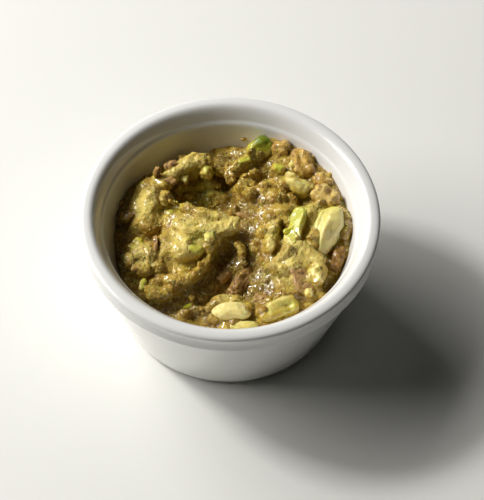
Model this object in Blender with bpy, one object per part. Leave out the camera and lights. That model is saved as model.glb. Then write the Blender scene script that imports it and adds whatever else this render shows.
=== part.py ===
"""Guacamole heaped in a small white ramekin.

The ramekin is a turned porcelain pot with a plain collar. The dip is one solid that fills it
and rises into an uneven heap of folds and lumps, with hollows between them. The larger pieces
of avocado and of browned vegetable lie in pockets of the dip, each a solid of its own.

Sizes and places are in millimetres and MM turns them into metres. +Z is up, and the origin is
the middle of the ramekin's flat base. The front of the pot is towards -Y.
"""
import math

import bmesh
import bpy
from mathutils import Matrix, Vector

MM = 0.001
TOUCH_GAP = 0.3          # clearance between pieces that touch

# Ramekin
RIM_RADIUS = 45.0        # widest ring of the collar
POT_HEIGHT = 42.0        # base to the crest of the rim
CREST_RADIUS = 42.5      # ring where the rim is highest
WIDEST_HEIGHT = 40.7     # height of the widest ring
COLLAR_FOOT = 35.3       # underside of the collar
COLLAR_FOOT_RADIUS = 44.8
COLLAR_GROOVE = 0.6      # how far the collar draws in under the rim
WALL_TOP_RADIUS = 44.0   # outer wall just under the collar
BASE_ROUND_RADIUS = 33.6
BASE_ROUND_HEIGHT = 3.2  # where the base's rounding meets the wall
BASE_RADIUS = 29.6       # flat base
LEDGE_RADIUS = 38.4      # inner edge of the rim, where a low step starts the inner wall
LEDGE_HEIGHT = 37.8
LEDGE_STEP = 0.4
INNER_SLOPE = 0.3        # inward run of the inner wall for each unit down
FLOOR_HEIGHT = 5.0
FLOOR_ROUND = 5.0        # rounding between the floor and the inner wall, upward
FLOOR_ROUND_RATIO = 0.9  # and inward, as a share of that
POT_SEGMENTS = 60

# Dip
HEAP_SEGMENTS = 72
HEAP_RINGS = 24          # rings from the middle of the heap out to the wall
EDGE_LEVEL = 27.0        # usual height where the heap meets the wall
EDGE_PASSES = 4          # times the edge's height and radius are worked out from each other
WALL_CLEARANCE = 0.4     # dip to inner wall
WAIST_LEVEL = 16.0       # ring of the dip halfway down the wall
CORNER_LIFT = 1.9        # ring inside the rounding of the floor: height above the floor
CORNER_INSET = 2.4       # and its distance in from the wall's line
EDGE_RISE = 0.035        # rise of the usual height for each unit to the right
CROWN = 4.2              # how far the middle of the heap stands above its edge
CREASE_SOFTNESS = 0.6    # height over which two lumps run into each other
LUMP_FOOT = 24.5         # depth at which a lump's sides end, inside the dip
LUMP_FULLNESS = 0.62     # 0.5 gives a lump the section of an ellipse, 1 that of a parabola

# Pieces
PIECE_SEGMENTS = 10
PIECE_RINGS = 7
POCKET_GAP = 0.38        # pocket wall to piece
BOXINESS = 0.8           # 1 rounds a piece like an egg, less squares it up

# Folds: points along the crest as (x, y, height), and half the fold's width.
FOLDS = {
    "great_fold": (((-20.5, 10.6, 34.4), (-14.0, 8.6, 35.2), (-6.0, 4.8, 36.0), (2.2, 2.2, 35.6)), 5.0),
    "left_lobe": (((-22.5, 15.0, 33.6), (-25.2, 9.0, 34.0), (-26.0, 4.0, 31.8)), 6.4),
    "left_ridge": (((-27.0, 13.0, 30.5), (-23.5, 17.0, 33.0), (-19.0, 19.6, 33.8)), 5.0),
    "back_ridge": (((-18.0, 20.0, 33.0), (-12.5, 24.0, 34.0), (-8.5, 26.2, 34.8)), 5.2),
    "back_right_ridge": (((0.0, 22.5, 32.4), (5.0, 25.8, 33.4), (10.0, 28.0, 34.0)), 5.0),
    "lower_crescent": (((-28.0, -4.5, 29.2), (-23.0, -9.5, 30.4), (-15.5, -12.0, 30.4),
                        (-8.5, -10.0, 30.6), (-6.3, -6.3, 31.0)), 5.2),
    "front_slab_bed": (((8.0, -27.4, 30.0), (15.0, -25.0, 31.4), (21.0, -21.6, 31.8)), 6.0),
    "thin_ridge": (((3.4, -2.8, 31.8), (4.6, -6.0, 31.2), (5.6, -9.0, 30.2)), 3.0),
}

# Lumps: middle (x, y), height, half-length, half-width, and the turn of the length in degrees.
LUMPS = {
    "fold_face_left": (-13.5, 1.0, 34.4, 10.0, 7.4, -10.0),
    "fold_face_right": (-3.4, -0.4, 34.2, 8.0, 6.8, -20.0),
    "middle_bulge": (-13.8, -6.4, 33.0, 8.6, 6.4, 5.0),
    "lower_left_slab": (-19.6, -16.0, 29.6, 10.0, 7.6, -32.0),
    "front_left": (-9.0, -22.6, 29.2, 10.0, 9.0, -20.0),
    "front_middle": (2.0, -26.6, 31.2, 10.0, 7.4, 5.0),
    "front_right": (23.4, -16.5, 32.4, 8.4, 7.6, 40.0),
    "right_mound": (19.6, -10.0, 34.6, 11.0, 9.0, -25.0),
    "right_bed": (28.6, 1.4, 34.2, 11.0, 6.8, 74.0),
    "right_edge": (30.6, -8.0, 31.0, 6.0, 6.4, 0.0),
    "middle_mound": (10.6, -1.4, 34.6, 9.0, 7.8, 10.0),
    "upper_mound": (13.0, 8.6, 34.8, 8.4, 9.0, 30.0),
    "stick_bed": (19.5, 1.2, 34.8, 10.0, 6.6, 75.0),
    "back_mound": (13.0, 17.4, 33.6, 13.0, 10.0, 0.0),
    "wedge_bed": (20.6, 16.8, 35.0, 7.6, 6.6, -35.0),
    "nugget_bed": (28.0, 14.6, 34.0, 7.2, 6.8, -30.0),
    "back_wall_bed": (20.6, 25.2, 34.4, 8.0, 6.0, -70.0),
    "back_edge_bed": (14.0, 30.0, 33.6, 6.6, 5.6, -20.0),
    "tan_bed": (27.2, 19.2, 33.2, 5.4, 5.4, 0.0),
    "green_bed": (8.4, 30.2, 34.0, 6.4, 5.6, 40.0),
    "back_knob": (6.0, 16.6, 34.2, 5.0, 4.4, 0.0),
    "round_knob": (-7.2, 20.6, 34.4, 4.8, 4.4, 0.0),
    "back_crumble": (-1.0, 28.6, 30.8, 8.6, 5.6, 0.0),
    "left_crumble": (-29.4, 8.6, 30.4, 5.0, 6.0, 0.0),
}

# Hollows: middle (x, y), height of the bottom, half-length, half-width, turn in degrees.
HOLLOWS = {
    "middle_hollow": (-0.4, -6.2, 27.6, 5.0, 4.6, 0.0),
    "lower_hollow": (0.6, -14.6, 26.0, 5.4, 7.0, 0.0),
    "lobe_hollow": (-23.8, -2.0, 28.0, 4.6, 3.4, 10.0),
    "fold_shade": (-9.0, 13.6, 30.4, 8.6, 3.6, -22.0),
    "back_gap": (0.4, 18.6, 28.6, 3.0, 4.2, 0.0),
    "mound_gap": (15.4, -5.6, 31.4, 2.6, 4.2, 0.0),
    "wall_gap": (27.8, -15.0, 27.2, 3.6, 6.0, -35.0),
}

# Pieces: the two ends of the length, full width, thickness, roll about the length in degrees,
# sideways bow of the middle, and the share by which the first end is wider than the middle.
AVOCADO_PIECES = {
    "avocado_half_moon": ((31.0, 8.0, 35.2), (27.4, -5.4, 31.4), 8.2, 6.4, 20.0, 0.5, 0.18),
    "avocado_stick": ((20.8, 7.2, 35.6), (18.0, -5.2, 33.8), 5.2, 4.6, 0.0, 0.6, -0.1),
    "avocado_green_end": ((5.8, 28.6, 33.6), (10.4, 33.2, 35.6), 5.0, 3.8, 0.0, -0.6, -0.15),
    "avocado_bean": ((-4.6, -27.5, 30.8), (6.8, -27.1, 31.4), 5.2, 5.0, 0.0, 0.9, 0.0),
    "avocado_front_bit": ((1.2, -31.4, 28.2), (7.8, -31.2, 28.6), 3.0, 3.2, 0.0, 0.0, -0.15),
    "avocado_slab": ((9.4, -27.4, 30.8), (20.6, -22.8, 32.2), 5.2, 3.6, 10.0, -0.7, 0.12),
    "avocado_fold_green": ((-15.0, -4.6, 32.4), (-8.2, -5.4, 32.8), 4.8, 4.0, -15.0, 0.5, -0.1),
    "avocado_wedge": ((16.8, 19.4, 35.0), (23.8, 14.4, 34.4), 5.8, 4.4, 10.0, 0.8, -0.15),
}
BROWN_PIECES = {
    "brown_flake_front": ((20.4, -12.2, 34.4), (23.8, -20.8, 31.8), 4.6, 2.8, 15.0, -0.5, -0.2),
    "brown_chunk_hollow": ((5.8, -10.2, 29.8), (1.4, -17.0, 27.6), 4.6, 3.8, 25.0, 0.6, 0.15),
    "brown_flake_wall": ((33.5, -4.2, 31.4), (31.9, -10.6, 29.6), 3.0, 3.2, 0.0, 0.0, 0.1),
    "brown_nugget_back": ((12.6, 30.8, 34.2), (17.2, 30.0, 34.4), 4.6, 4.6, 0.0, 0.0, -0.1),
    "brown_nugget_wall": ((19.6, 29.4, 34.4), (22.6, 21.0, 33.6), 5.0, 4.8, 0.0, 0.5, 0.1),
}
TAN_PIECES = {
    "tan_nugget_wall": ((25.2, 20.8, 33.4), (29.4, 18.0, 33.4), 3.6, 3.8, 0.0, 0.0, 0.0),
    "tan_nugget_right": ((25.2, 15.4, 33.8), (32.2, 12.0, 33.8), 6.0, 5.0, 0.0, -0.4, -0.1),
}

GLAZE_WHITE = (0.80, 0.79, 0.76, 1.0)
MASH_OLIVE = (0.33, 0.25, 0.06, 1.0)
AVOCADO_PALE = (0.55, 0.52, 0.16, 1.0)
BROWN = (0.24, 0.12, 0.05, 1.0)
TAN = (0.38, 0.26, 0.09, 1.0)


def clear_scene():
    """Empty the file of the objects it opens with."""
    for thing in list(bpy.data.objects):
        bpy.data.objects.remove(thing)


def material(name, colour, roughness):
    """A plain non-metal finish."""
    finish = bpy.data.materials.new(name)
    finish.use_nodes = True
    shader = finish.node_tree.nodes["Principled BSDF"]
    shader.inputs["Base Color"].default_value = colour
    shader.inputs["Roughness"].default_value = roughness
    shader.inputs["Metallic"].default_value = 0.0
    return finish


def new_object(name, mesh, finish=None):
    """Link a mesh into the scene under the node's name."""
    thing = bpy.data.objects.new(name, mesh)
    bpy.context.scene.collection.objects.link(thing)
    if finish is not None:
        mesh.materials.append(finish)
    return thing


def arc(middle_r, middle_z, size_r, size_z, start, end, steps):
    """Points on an ellipse's arc in the (r, z) plane, from one angle in degrees to another."""
    points = []
    for i in range(steps + 1):
        angle = math.radians(start + (end - start) * i / steps)
        points.append((middle_r + size_r * math.cos(angle), middle_z + size_z * math.sin(angle)))
    return points


def bow(handles, steps):
    """Points on the cubic curve pulled by four (r, z) handles."""
    points = []
    for i in range(steps + 1):
        t = i / steps
        weights = ((1.0 - t) ** 3, 3.0 * t * (1.0 - t) ** 2, 3.0 * t * t * (1.0 - t), t ** 3)
        points.append(tuple(sum(w * handle[axis] for w, handle in zip(weights, handles)) for axis in (0, 1)))
    return points


def inner_wall_radius(height):
    """Radius of the ramekin's straight inner wall at a height."""
    return LEDGE_RADIUS - LEDGE_STEP - INNER_SLOPE * (LEDGE_HEIGHT - height)


def pot_profile():
    """Half section of the ramekin: floor, inner wall, rim, collar, outer wall, base."""
    corner_run = FLOOR_ROUND * FLOOR_ROUND_RATIO
    floor_edge = inner_wall_radius(FLOOR_HEIGHT + FLOOR_ROUND) - corner_run
    points = [(0.0, FLOOR_HEIGHT)]
    points += arc(floor_edge, FLOOR_HEIGHT + FLOOR_ROUND, corner_run, FLOOR_ROUND, -90.0, 0.0, 3)
    points.append((inner_wall_radius(LEDGE_HEIGHT - LEDGE_STEP), LEDGE_HEIGHT - LEDGE_STEP))
    ledge = (LEDGE_RADIUS, LEDGE_HEIGHT)
    crest = (CREST_RADIUS, POT_HEIGHT)
    widest = (RIM_RADIUS, WIDEST_HEIGHT)
    slope = (LEDGE_RADIUS + 1.4, LEDGE_HEIGHT + 2.3)
    points += bow([ledge, slope, (CREST_RADIUS - 1.7, POT_HEIGHT), crest], 6)
    points += bow([crest, (RIM_RADIUS - 0.7, POT_HEIGHT), (RIM_RADIUS, WIDEST_HEIGHT + 0.8), widest], 5)[1:]
    groove = RIM_RADIUS - COLLAR_GROOVE
    foot = (COLLAR_FOOT_RADIUS, COLLAR_FOOT + 0.6)
    points += bow([widest, (groove, WIDEST_HEIGHT - 1.6), (groove, COLLAR_FOOT + 2.4), foot], 5)[1:]
    points.append((COLLAR_FOOT_RADIUS - 0.3, COLLAR_FOOT))
    points.append((WALL_TOP_RADIUS, COLLAR_FOOT - 0.2))
    round_run = BASE_ROUND_RADIUS - BASE_RADIUS
    points += arc(BASE_RADIUS, BASE_ROUND_HEIGHT, round_run, BASE_ROUND_HEIGHT, 0.0, -90.0, 3)
    points.append((0.0, 0.0))
    return points


def build_ramekin(finish):
    """Turn the half section about the upright axis."""
    build = bmesh.new()
    corners = [build.verts.new((r * MM, 0.0, z * MM)) for r, z in pot_profile()]
    for first, second in zip(corners, corners[1:]):
        build.edges.new((first, second))
    mesh = bpy.data.meshes.new("ramekin")
    build.to_mesh(mesh)
    build.free()
    pot = new_object("ramekin", mesh, finish)
    turning = pot.modifiers.new("turning", "SCREW")
    turning.axis = "Z"
    turning.angle = math.tau
    turning.steps = POT_SEGMENTS
    turning.render_steps = POT_SEGMENTS
    turning.use_merge_vertices = True
    turning.merge_threshold = 0.00001
    turning.use_smooth_shade = True
    return pot


def dome(x, y, lump):
    """Height of one lump above a point: an ellipsoid's upper half on the lump's foot."""
    middle_x, middle_y, top, half_length, half_width, turn = lump
    cos_turn = math.cos(math.radians(turn))
    sin_turn = math.sin(math.radians(turn))
    along = ((x - middle_x) * cos_turn + (y - middle_y) * sin_turn) / half_length
    across = ((y - middle_y) * cos_turn - (x - middle_x) * sin_turn) / half_width
    inside = max(0.0, 1.0 - along * along - across * across)
    return LUMP_FOOT + (top - LUMP_FOOT) * inside ** LUMP_FULLNESS


def fold_height(x, y, crest, half_width):
    """Height of a fold above a point: a half-round section carried along the crest line."""
    best = LUMP_FOOT
    for start, end in zip(crest, crest[1:]):
        run_x = end[0] - start[0]
        run_y = end[1] - start[1]
        share = ((x - start[0]) * run_x + (y - start[1]) * run_y) / (run_x * run_x + run_y * run_y)
        share = min(1.0, max(0.0, share))
        away = math.hypot(x - start[0] - share * run_x, y - start[1] - share * run_y) / half_width
        top = start[2] + share * (end[2] - start[2])
        best = max(best, LUMP_FOOT + (top - LUMP_FOOT) * max(0.0, 1.0 - away * away) ** LUMP_FULLNESS)
    return best


def heap_height(x, y):
    """Height of the dip's surface: folds and lumps run together, with the hollows taken out."""
    reach = math.hypot(x, y) / inner_wall_radius(EDGE_LEVEL)
    levels = [EDGE_LEVEL + EDGE_RISE * x + CROWN * (1.0 - reach * reach)]
    levels += [fold_height(x, y, crest, half_width) for crest, half_width in FOLDS.values()]
    levels += [dome(x, y, lump) for lump in LUMPS.values()]
    highest = max(levels)
    total = sum(math.exp((level - highest) / CREASE_SOFTNESS) for level in levels)
    height = highest + CREASE_SOFTNESS * math.log(total)
    for middle_x, middle_y, bottom, half_length, half_width, turn in HOLLOWS.values():
        depth = max(0.0, height - bottom)
        pit = dome(x, y, (middle_x, middle_y, LUMP_FOOT + depth, half_length, half_width, turn))
        height -= pit - LUMP_FOOT
    return height


def heap_edge(angle):
    """Radius and height where the heap meets the wall, settled by repeating the two rules."""
    height = EDGE_LEVEL
    for _ in range(EDGE_PASSES):
        radius = inner_wall_radius(height) - WALL_CLEARANCE
        height = heap_height(radius * math.cos(angle), radius * math.sin(angle))
    return radius, height


def dip_rings():
    """Rings of points from the top of the heap outward, then down the wall to the floor."""
    angles = [math.tau * i / HEAP_SEGMENTS for i in range(HEAP_SEGMENTS)]
    edges = [heap_edge(angle) for angle in angles]
    rings = []
    for ring in range(1, HEAP_RINGS + 1):
        share = ring / HEAP_RINGS
        points = []
        for angle, (edge_radius, edge_height) in zip(angles, edges):
            x = share * edge_radius * math.cos(angle)
            y = share * edge_radius * math.sin(angle)
            height = edge_height if ring == HEAP_RINGS else heap_height(x, y)
            points.append((x, y, height))
        rings.append(points)
    floor_corner = FLOOR_HEIGHT + FLOOR_ROUND
    corner_level = FLOOR_HEIGHT + CORNER_LIFT
    for level, inset in ((WAIST_LEVEL, 0.0), (floor_corner, 0.0), (corner_level, CORNER_INSET)):
        radius = inner_wall_radius(level) - WALL_CLEARANCE - inset
        rings.append([(radius * math.cos(a), radius * math.sin(a), level) for a in angles])
    bottom_radius = inner_wall_radius(floor_corner) - FLOOR_ROUND
    bottom = FLOOR_HEIGHT + TOUCH_GAP
    rings.append([(bottom_radius * math.cos(a), bottom_radius * math.sin(a), bottom) for a in angles])
    return rings


def closed_rings(name, rings, top, bottom):
    """Mesh of a body from rings of equal count, closed by a point at each end."""
    build = bmesh.new()
    circles = [[build.verts.new(Vector(point) * MM) for point in ring] for ring in rings]
    first = build.verts.new(Vector(top) * MM)
    last = build.verts.new(Vector(bottom) * MM)
    count = len(rings[0])
    for i in range(count):
        j = (i + 1) % count
        build.faces.new((first, circles[0][i], circles[0][j]))
        build.faces.new((last, circles[-1][j], circles[-1][i]))
        for upper, lower in zip(circles, circles[1:]):
            build.faces.new((upper[i], lower[i], lower[j], upper[j]))
    bmesh.ops.triangulate(build, faces=build.faces)
    mesh = bpy.data.meshes.new(name)
    build.to_mesh(mesh)
    build.free()
    return mesh


def build_dip(finish):
    """The dip as one solid from the floor of the pot to the uneven top of the heap."""
    top = (0.0, 0.0, heap_height(0.0, 0.0))
    bottom = (0.0, 0.0, FLOOR_HEIGHT + TOUCH_GAP)
    return new_object("guacamole", closed_rings("guacamole", dip_rings(), top, bottom), finish)


def piece_mesh(name, piece, grow):
    """A rounded, slightly boxy piece between two end points, grown on all sides by a margin."""
    start, end, width, thickness, roll, bow, flare = piece
    build = bmesh.new()
    bmesh.ops.create_uvsphere(build, u_segments=PIECE_SEGMENTS, v_segments=PIECE_RINGS, radius=1.0)
    length_axis = (Vector(end) - Vector(start)).normalized()
    side_axis = Vector((0.0, 0.0, 1.0)).cross(length_axis).normalized()
    up_axis = length_axis.cross(side_axis)
    turn = Matrix.Rotation(math.radians(roll), 3, length_axis)
    side_axis = turn @ side_axis
    up_axis = turn @ up_axis
    middle = (Vector(start) + Vector(end)) / 2.0
    half_length = (Vector(end) - Vector(start)).length / 2.0 + grow
    half_width = width / 2.0 + grow
    half_thickness = thickness / 2.0 + grow
    for corner in build.verts:
        across, through, along = [math.copysign(abs(share) ** BOXINESS, share) for share in corner.co]
        widen = 1.0 - flare * along
        sideways = across * half_width * widen + bow * (1.0 - along * along)
        corner.co = middle + length_axis * (along * half_length)
        corner.co += side_axis * sideways + up_axis * (through * half_thickness * widen)
        corner.co *= MM
    bmesh.ops.triangulate(build, faces=build.faces)
    mesh = bpy.data.meshes.new(name)
    build.to_mesh(mesh)
    build.free()
    return mesh


def build_piece(name, piece, finish, dip):
    """Set a piece into the dip and cut its pocket, a margin larger all round."""
    made = new_object(name, piece_mesh(name, piece, 0.0), finish)
    made.data.shade_smooth()
    cutter = new_object(name + "_pocket", piece_mesh(name + "_pocket", piece, POCKET_GAP))
    cutter.hide_render = True
    cutter.display_type = "WIRE"
    pocket = dip.modifiers.new(name, "BOOLEAN")
    pocket.operation = "DIFFERENCE"
    pocket.solver = "EXACT"
    pocket.object = cutter


def build_all():
    clear_scene()
    build_ramekin(material("white_glaze", GLAZE_WHITE, 0.12))
    dip = build_dip(material("avocado_mash", MASH_OLIVE, 0.35))
    finishes = (
        (AVOCADO_PIECES, material("avocado_flesh", AVOCADO_PALE, 0.35)),
        (BROWN_PIECES, material("browned_vegetable", BROWN, 0.4)),
        (TAN_PIECES, material("tan_vegetable", TAN, 0.4)),
    )
    for pieces, finish in finishes:
        for name, piece in pieces.items():
            build_piece(name, piece, finish, dip)


build_all()
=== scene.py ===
"""Guacamole heaped in a small white ramekin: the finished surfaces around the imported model.

Lengths are worked out in millimetres and turned into metres as each mesh is made. +Z is up, the
origin is the middle of the ramekin's base, and the front of the pot is towards -Y.
"""
import math

import bpy
import numpy as np
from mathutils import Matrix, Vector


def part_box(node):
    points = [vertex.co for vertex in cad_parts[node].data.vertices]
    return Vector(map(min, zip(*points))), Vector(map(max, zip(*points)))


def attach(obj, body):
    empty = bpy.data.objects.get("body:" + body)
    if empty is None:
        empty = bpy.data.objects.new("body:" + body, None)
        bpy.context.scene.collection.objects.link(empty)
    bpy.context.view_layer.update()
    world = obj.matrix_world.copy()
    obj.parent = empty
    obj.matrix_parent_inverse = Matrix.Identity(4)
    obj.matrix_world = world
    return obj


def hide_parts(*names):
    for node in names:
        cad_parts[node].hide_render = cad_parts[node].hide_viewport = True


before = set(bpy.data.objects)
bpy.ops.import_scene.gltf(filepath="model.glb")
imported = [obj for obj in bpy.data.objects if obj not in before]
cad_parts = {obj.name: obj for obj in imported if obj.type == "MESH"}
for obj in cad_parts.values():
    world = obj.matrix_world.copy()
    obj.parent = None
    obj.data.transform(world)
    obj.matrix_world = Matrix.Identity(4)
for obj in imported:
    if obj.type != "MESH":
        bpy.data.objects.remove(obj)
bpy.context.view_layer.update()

import openvdb
from mathutils import Quaternion, Vector

MM = 0.001
UP = (0.0, 0.0, 1.0)

# Pot, from the size of its CAD node
POT_LOW, POT_HIGH = [[value / MM for value in corner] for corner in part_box("ramekin")]
RIM_RADIUS = (POT_HIGH[0] - POT_LOW[0]) / 2.0  # widest ring of the collar
POT_HEIGHT = POT_HIGH[2]
CREST_RADIUS = RIM_RADIUS - 2.5  # ring where the rim is highest
WIDEST_HEIGHT = POT_HEIGHT - 1.3
COLLAR_GROOVE = 0.6  # how far the collar draws in under the rim
COLLAR_FOOT = POT_HEIGHT - 6.7
COLLAR_FOOT_RADIUS = RIM_RADIUS - 0.2
WALL_TOP_RADIUS = RIM_RADIUS - 1.0  # outer wall just under the collar
BASE_RADIUS = 29.6
BASE_ROUND_RADIUS = 33.6
BASE_ROUND_HEIGHT = 3.2
LEDGE_RADIUS = RIM_RADIUS - 6.6  # inner edge of the rim, above a low step
LEDGE_HEIGHT = POT_HEIGHT - 4.2
LEDGE_STEP = 0.3
INNER_SLOPE = 0.3  # inward run of the inner wall for each unit down
FLOOR_HEIGHT = 5.0
FLOOR_ROUND = 5.0  # rounding between the floor and the inner wall,
FLOOR_ROUND_RUN = FLOOR_ROUND * 0.9  # upward and inward
POT_SEGMENTS = 288
GLAZE_RIPPLE = 0.035

# Mash: the grid that its field is measured on, and its roughness
STEP = 0.36
HEAP_FLOOR = 22.5  # below this the mash just follows the wall
HEAP_TOP = 39.5
HEAP_REACH = 38.5
FAR = 9.0  # a distance beyond the reach of every shape
SHOVES = ((5.0, 31, 0.55), (2.4, 41, 0.28))  # how far places are pushed aside: cell, seed, size
LAND_SPREAD = 2.9  # how far each place of LAND carries
LUMP_SOFTNESS, FOLD_SOFTNESS = 0.9, 0.7  # width of the band in which two shapes blend
HOLLOW_SOFTNESS, CLOD_SOFTNESS = 0.8, 0.35
UNEVEN = ((0.24, 2.6, 61), (0.12, 1.2, 62), (0.08, 0.8, 64))  # height, cell, seed
WRINKLES = ((6.0, 63, 0.55), (4.2, 65, -0.5))  # cell, seed, height
CLODS = 130
WALL_OVERLAP, WALL_COSINE = 0.25, 0.96  # how far the mash runs into the wall; cosine of its lean
CRUMBS_ABOVE = 25.5  # lowest place of a loose crumb
BIT_SINK = 0.35  # how deep the middle of a small piece lies, as a share of its half thickness
GRAINS = ((0.42, 1.15, 11), (0.22, 0.75, 23))  # height, cell, seed
GRAIN_BED = 0.12  # how far the surface sinks between the grains
PASTE_CALM = 0.5  # share of the grains that smooth paste hides

# Camera and lamps
LENS, SENSOR = 240.5, 36.0
VIEW_ELEVATION, VIEW_ROLL = 54.5, 1.5  # degrees
VIEW_DISTANCE = 0.99  # metres
VIEW_TARGET = (3.9, -11.3, 39.8)
LAMP_AZIMUTH, LAMP_ELEVATION = 156.5, 40.0  # degrees
LAMP_DISTANCE = 1.25  # metres
ROOM_LIGHT = 0.015


# ---- numbers that look random but repeat
def scrambled(cell, seed):
    """A number from 0 to 1 for each whole-number place: the place multiplied by large odd numbers
    and shifted on itself, so that neighbours have nothing in common."""
    mixed = cell[:, 0].astype(np.uint32) * np.uint32(0x8DA6B343)
    mixed = mixed ^ (cell[:, 1].astype(np.uint32) * np.uint32(0xD8163841))
    mixed = mixed ^ (cell[:, 2].astype(np.uint32) * np.uint32(0xCB1AB31F))
    mixed = mixed ^ np.uint32((seed * 0x9E3779B1) & 0xFFFFFFFF)
    mixed = (mixed ^ (mixed >> np.uint32(15))) * np.uint32(0x2C1B3C6D)
    mixed = (mixed ^ (mixed >> np.uint32(12))) * np.uint32(0x297A2D39)
    mixed = mixed ^ (mixed >> np.uint32(15))
    return mixed.astype(np.float64) / 2.0**32


def eased(share):
    """3t^2 - 2t^3, which runs smoothly from 0 to 1."""
    return share * share * (3.0 - 2.0 * share)


def smooth_noise(points, cell, seed):
    """Noise from -1 to 1: the cell corners' numbers, blended along each axis by 3t^2 - 2t^3."""
    place = points / cell
    low = np.floor(place).astype(np.int64)
    share = eased(place - low)
    total = np.zeros(len(points))
    for corner in range(8):
        step = np.array([corner & 1, corner >> 1 & 1, corner >> 2 & 1])
        total += np.prod(np.where(step, share, 1.0 - share), axis=1) * scrambled(low + step, seed)
    return total * 2.0 - 1.0


def grains(points, cell, seed):
    """Distance to the nearest of a set of scattered seeds, one in each cell, as a share of the
    cell, and that seed's own number from 0 to 1."""
    place = points / cell
    low = np.floor(place).astype(np.int64)
    nearest = np.full(len(points), FAR)
    number = np.zeros(len(points))
    for shift in range(27):
        at = low + np.array([shift % 3 - 1, shift // 3 % 3 - 1, shift // 9 - 1])
        jitter = np.stack([scrambled(at, seed + axis) for axis in range(3)], axis=1)
        away = np.linalg.norm(at + jitter - place, axis=1)
        closer = away < nearest
        nearest = np.where(closer, away, nearest)
        number = np.where(closer, scrambled(at, seed + 7), number)
    return nearest, number


def unit(vectors):
    """The rows made unit length."""
    return vectors / np.linalg.norm(vectors, axis=-1, keepdims=True)


# ---- meshes from arrays
def mesh_object(name, points, quads, triangles=()):
    """Put arrays of corners, in millimetres, and faces into a new smooth-shaded object."""
    mesh = bpy.data.meshes.new(name)
    mesh.vertices.add(len(points))
    mesh.vertices.foreach_set("co", (np.asarray(points) * MM).astype(np.float32).ravel())
    faces = [np.asarray(quads, np.int32).reshape(-1, 4), np.asarray(triangles, np.int32).reshape(-1, 3)]
    flat = np.concatenate([part.ravel() for part in faces])
    counts = np.concatenate([np.full(len(part), part.shape[1]) for part in faces])
    mesh.loops.add(len(flat))
    mesh.loops.foreach_set("vertex_index", flat)
    mesh.polygons.add(len(counts))
    starts = np.concatenate([[0], np.cumsum(counts)[:-1]]).astype(np.int32)
    mesh.polygons.foreach_set("loop_start", starts)
    mesh.update(calc_edges=True)
    mesh.validate()
    mesh.shade_smooth()
    made = bpy.data.objects.new(name, mesh)
    bpy.context.scene.collection.objects.link(made)
    return made


def add_piece(name, faces, slot, stands_for=None, masks=None, material=None):
    """A visible piece from (corners, quads, triangles), with a number per corner in each mask for
    the material to read. It rides on the one body, may stand for a CAD node, and has its slot's
    food material unless another is given."""
    made = mesh_object(name, *faces)
    for mask, values in (masks or {}).items():
        stored = made.data.attributes.new(mask, "FLOAT", "POINT")
        stored.data.foreach_set("value", values.astype(np.float32))
    made.data.materials.append(material or bpy.data.materials["wet_" + slot])
    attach(made, "root")
    if stands_for is not None:
        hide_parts(stands_for)


def ring_faces(rows, columns):
    """Faces of a grid of rings that is closed round and shut by one point at each end: the rings'
    corners come first, row by row, then the first end's point and the last end's."""
    column = np.arange(columns)
    following = (column + 1) % columns
    row = np.arange(rows - 1)[:, None] * columns
    quads = np.stack([row + column, row + columns + column, row + columns + following, row + following], -1)
    first = rows * columns
    last_row = first - columns
    caps = [np.stack([np.full(columns, first), column, following], -1)]
    caps.append(np.stack([np.full(columns, first + 1), last_row + following, last_row + column], -1))
    return quads.reshape(-1, 4), np.concatenate(caps)


def outward_at(points, quads):
    """Outward direction at each corner: the sum of its faces' cross products, made unit length."""
    a, b, c, d = [points[quads[:, side]] for side in range(4)]
    facing = np.cross(c - a, d - b)
    total = np.zeros_like(points)
    for side in range(4):
        for axis in range(3):
            total[:, axis] += np.bincount(quads[:, side], facing[:, axis], len(points))
    return total / np.maximum(np.linalg.norm(total, axis=1, keepdims=True), 1e-9)


# ---- materials
def feed(tree, made, **values):
    """Give a node its settings and inputs by name; a (node, socket) pair is joined to the input."""
    for key, value in values.items():
        entry = key.replace("_", " ")
        if isinstance(value, tuple) and isinstance(value[0], bpy.types.Node):
            tree.links.new(value[0].outputs[value[1]], made.inputs[entry])
        elif hasattr(made, key):
            setattr(made, key, value)
        else:
            made.inputs[entry].default_value = value
    return made


def node(tree, kind, **values):
    """A new shader node, fed."""
    return feed(tree, tree.nodes.new("ShaderNode" + kind), **values)


def finish_material(name, **values):
    """A Principled material with its constants on the shader's own sockets: the material, its tree
    and its shader."""
    made = bpy.data.materials.new(name)
    made.use_nodes = True
    return made, made.node_tree, feed(made.node_tree, made.node_tree.nodes["Principled BSDF"], **values)


def mixed(tree, below, color, factor):
    """A flat colour mixed over the colour below."""
    return node(tree, "Mix", data_type="RGBA", A=below, B=(*color, 1.0), Factor=factor), "Result"


def stepped(tree, value, low, high, top=1.0):
    """A value turned into a mask: 0 at low, top at high."""
    return node(tree, "MapRange", interpolation_type="SMOOTHSTEP", Value=value, From_Min=low, From_Max=high,
                To_Max=top), "Result"


def math_node(tree, operation, *sides):
    """A Math node's result: each side is a number or a (node, socket) pair."""
    made = node(tree, "Math", operation=operation)
    for entry, side in zip(made.inputs, sides):
        if isinstance(side, tuple):
            tree.links.new(side[0].outputs[side[1]], entry)
        else:
            entry.default_value = side
    return made, "Value"


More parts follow.
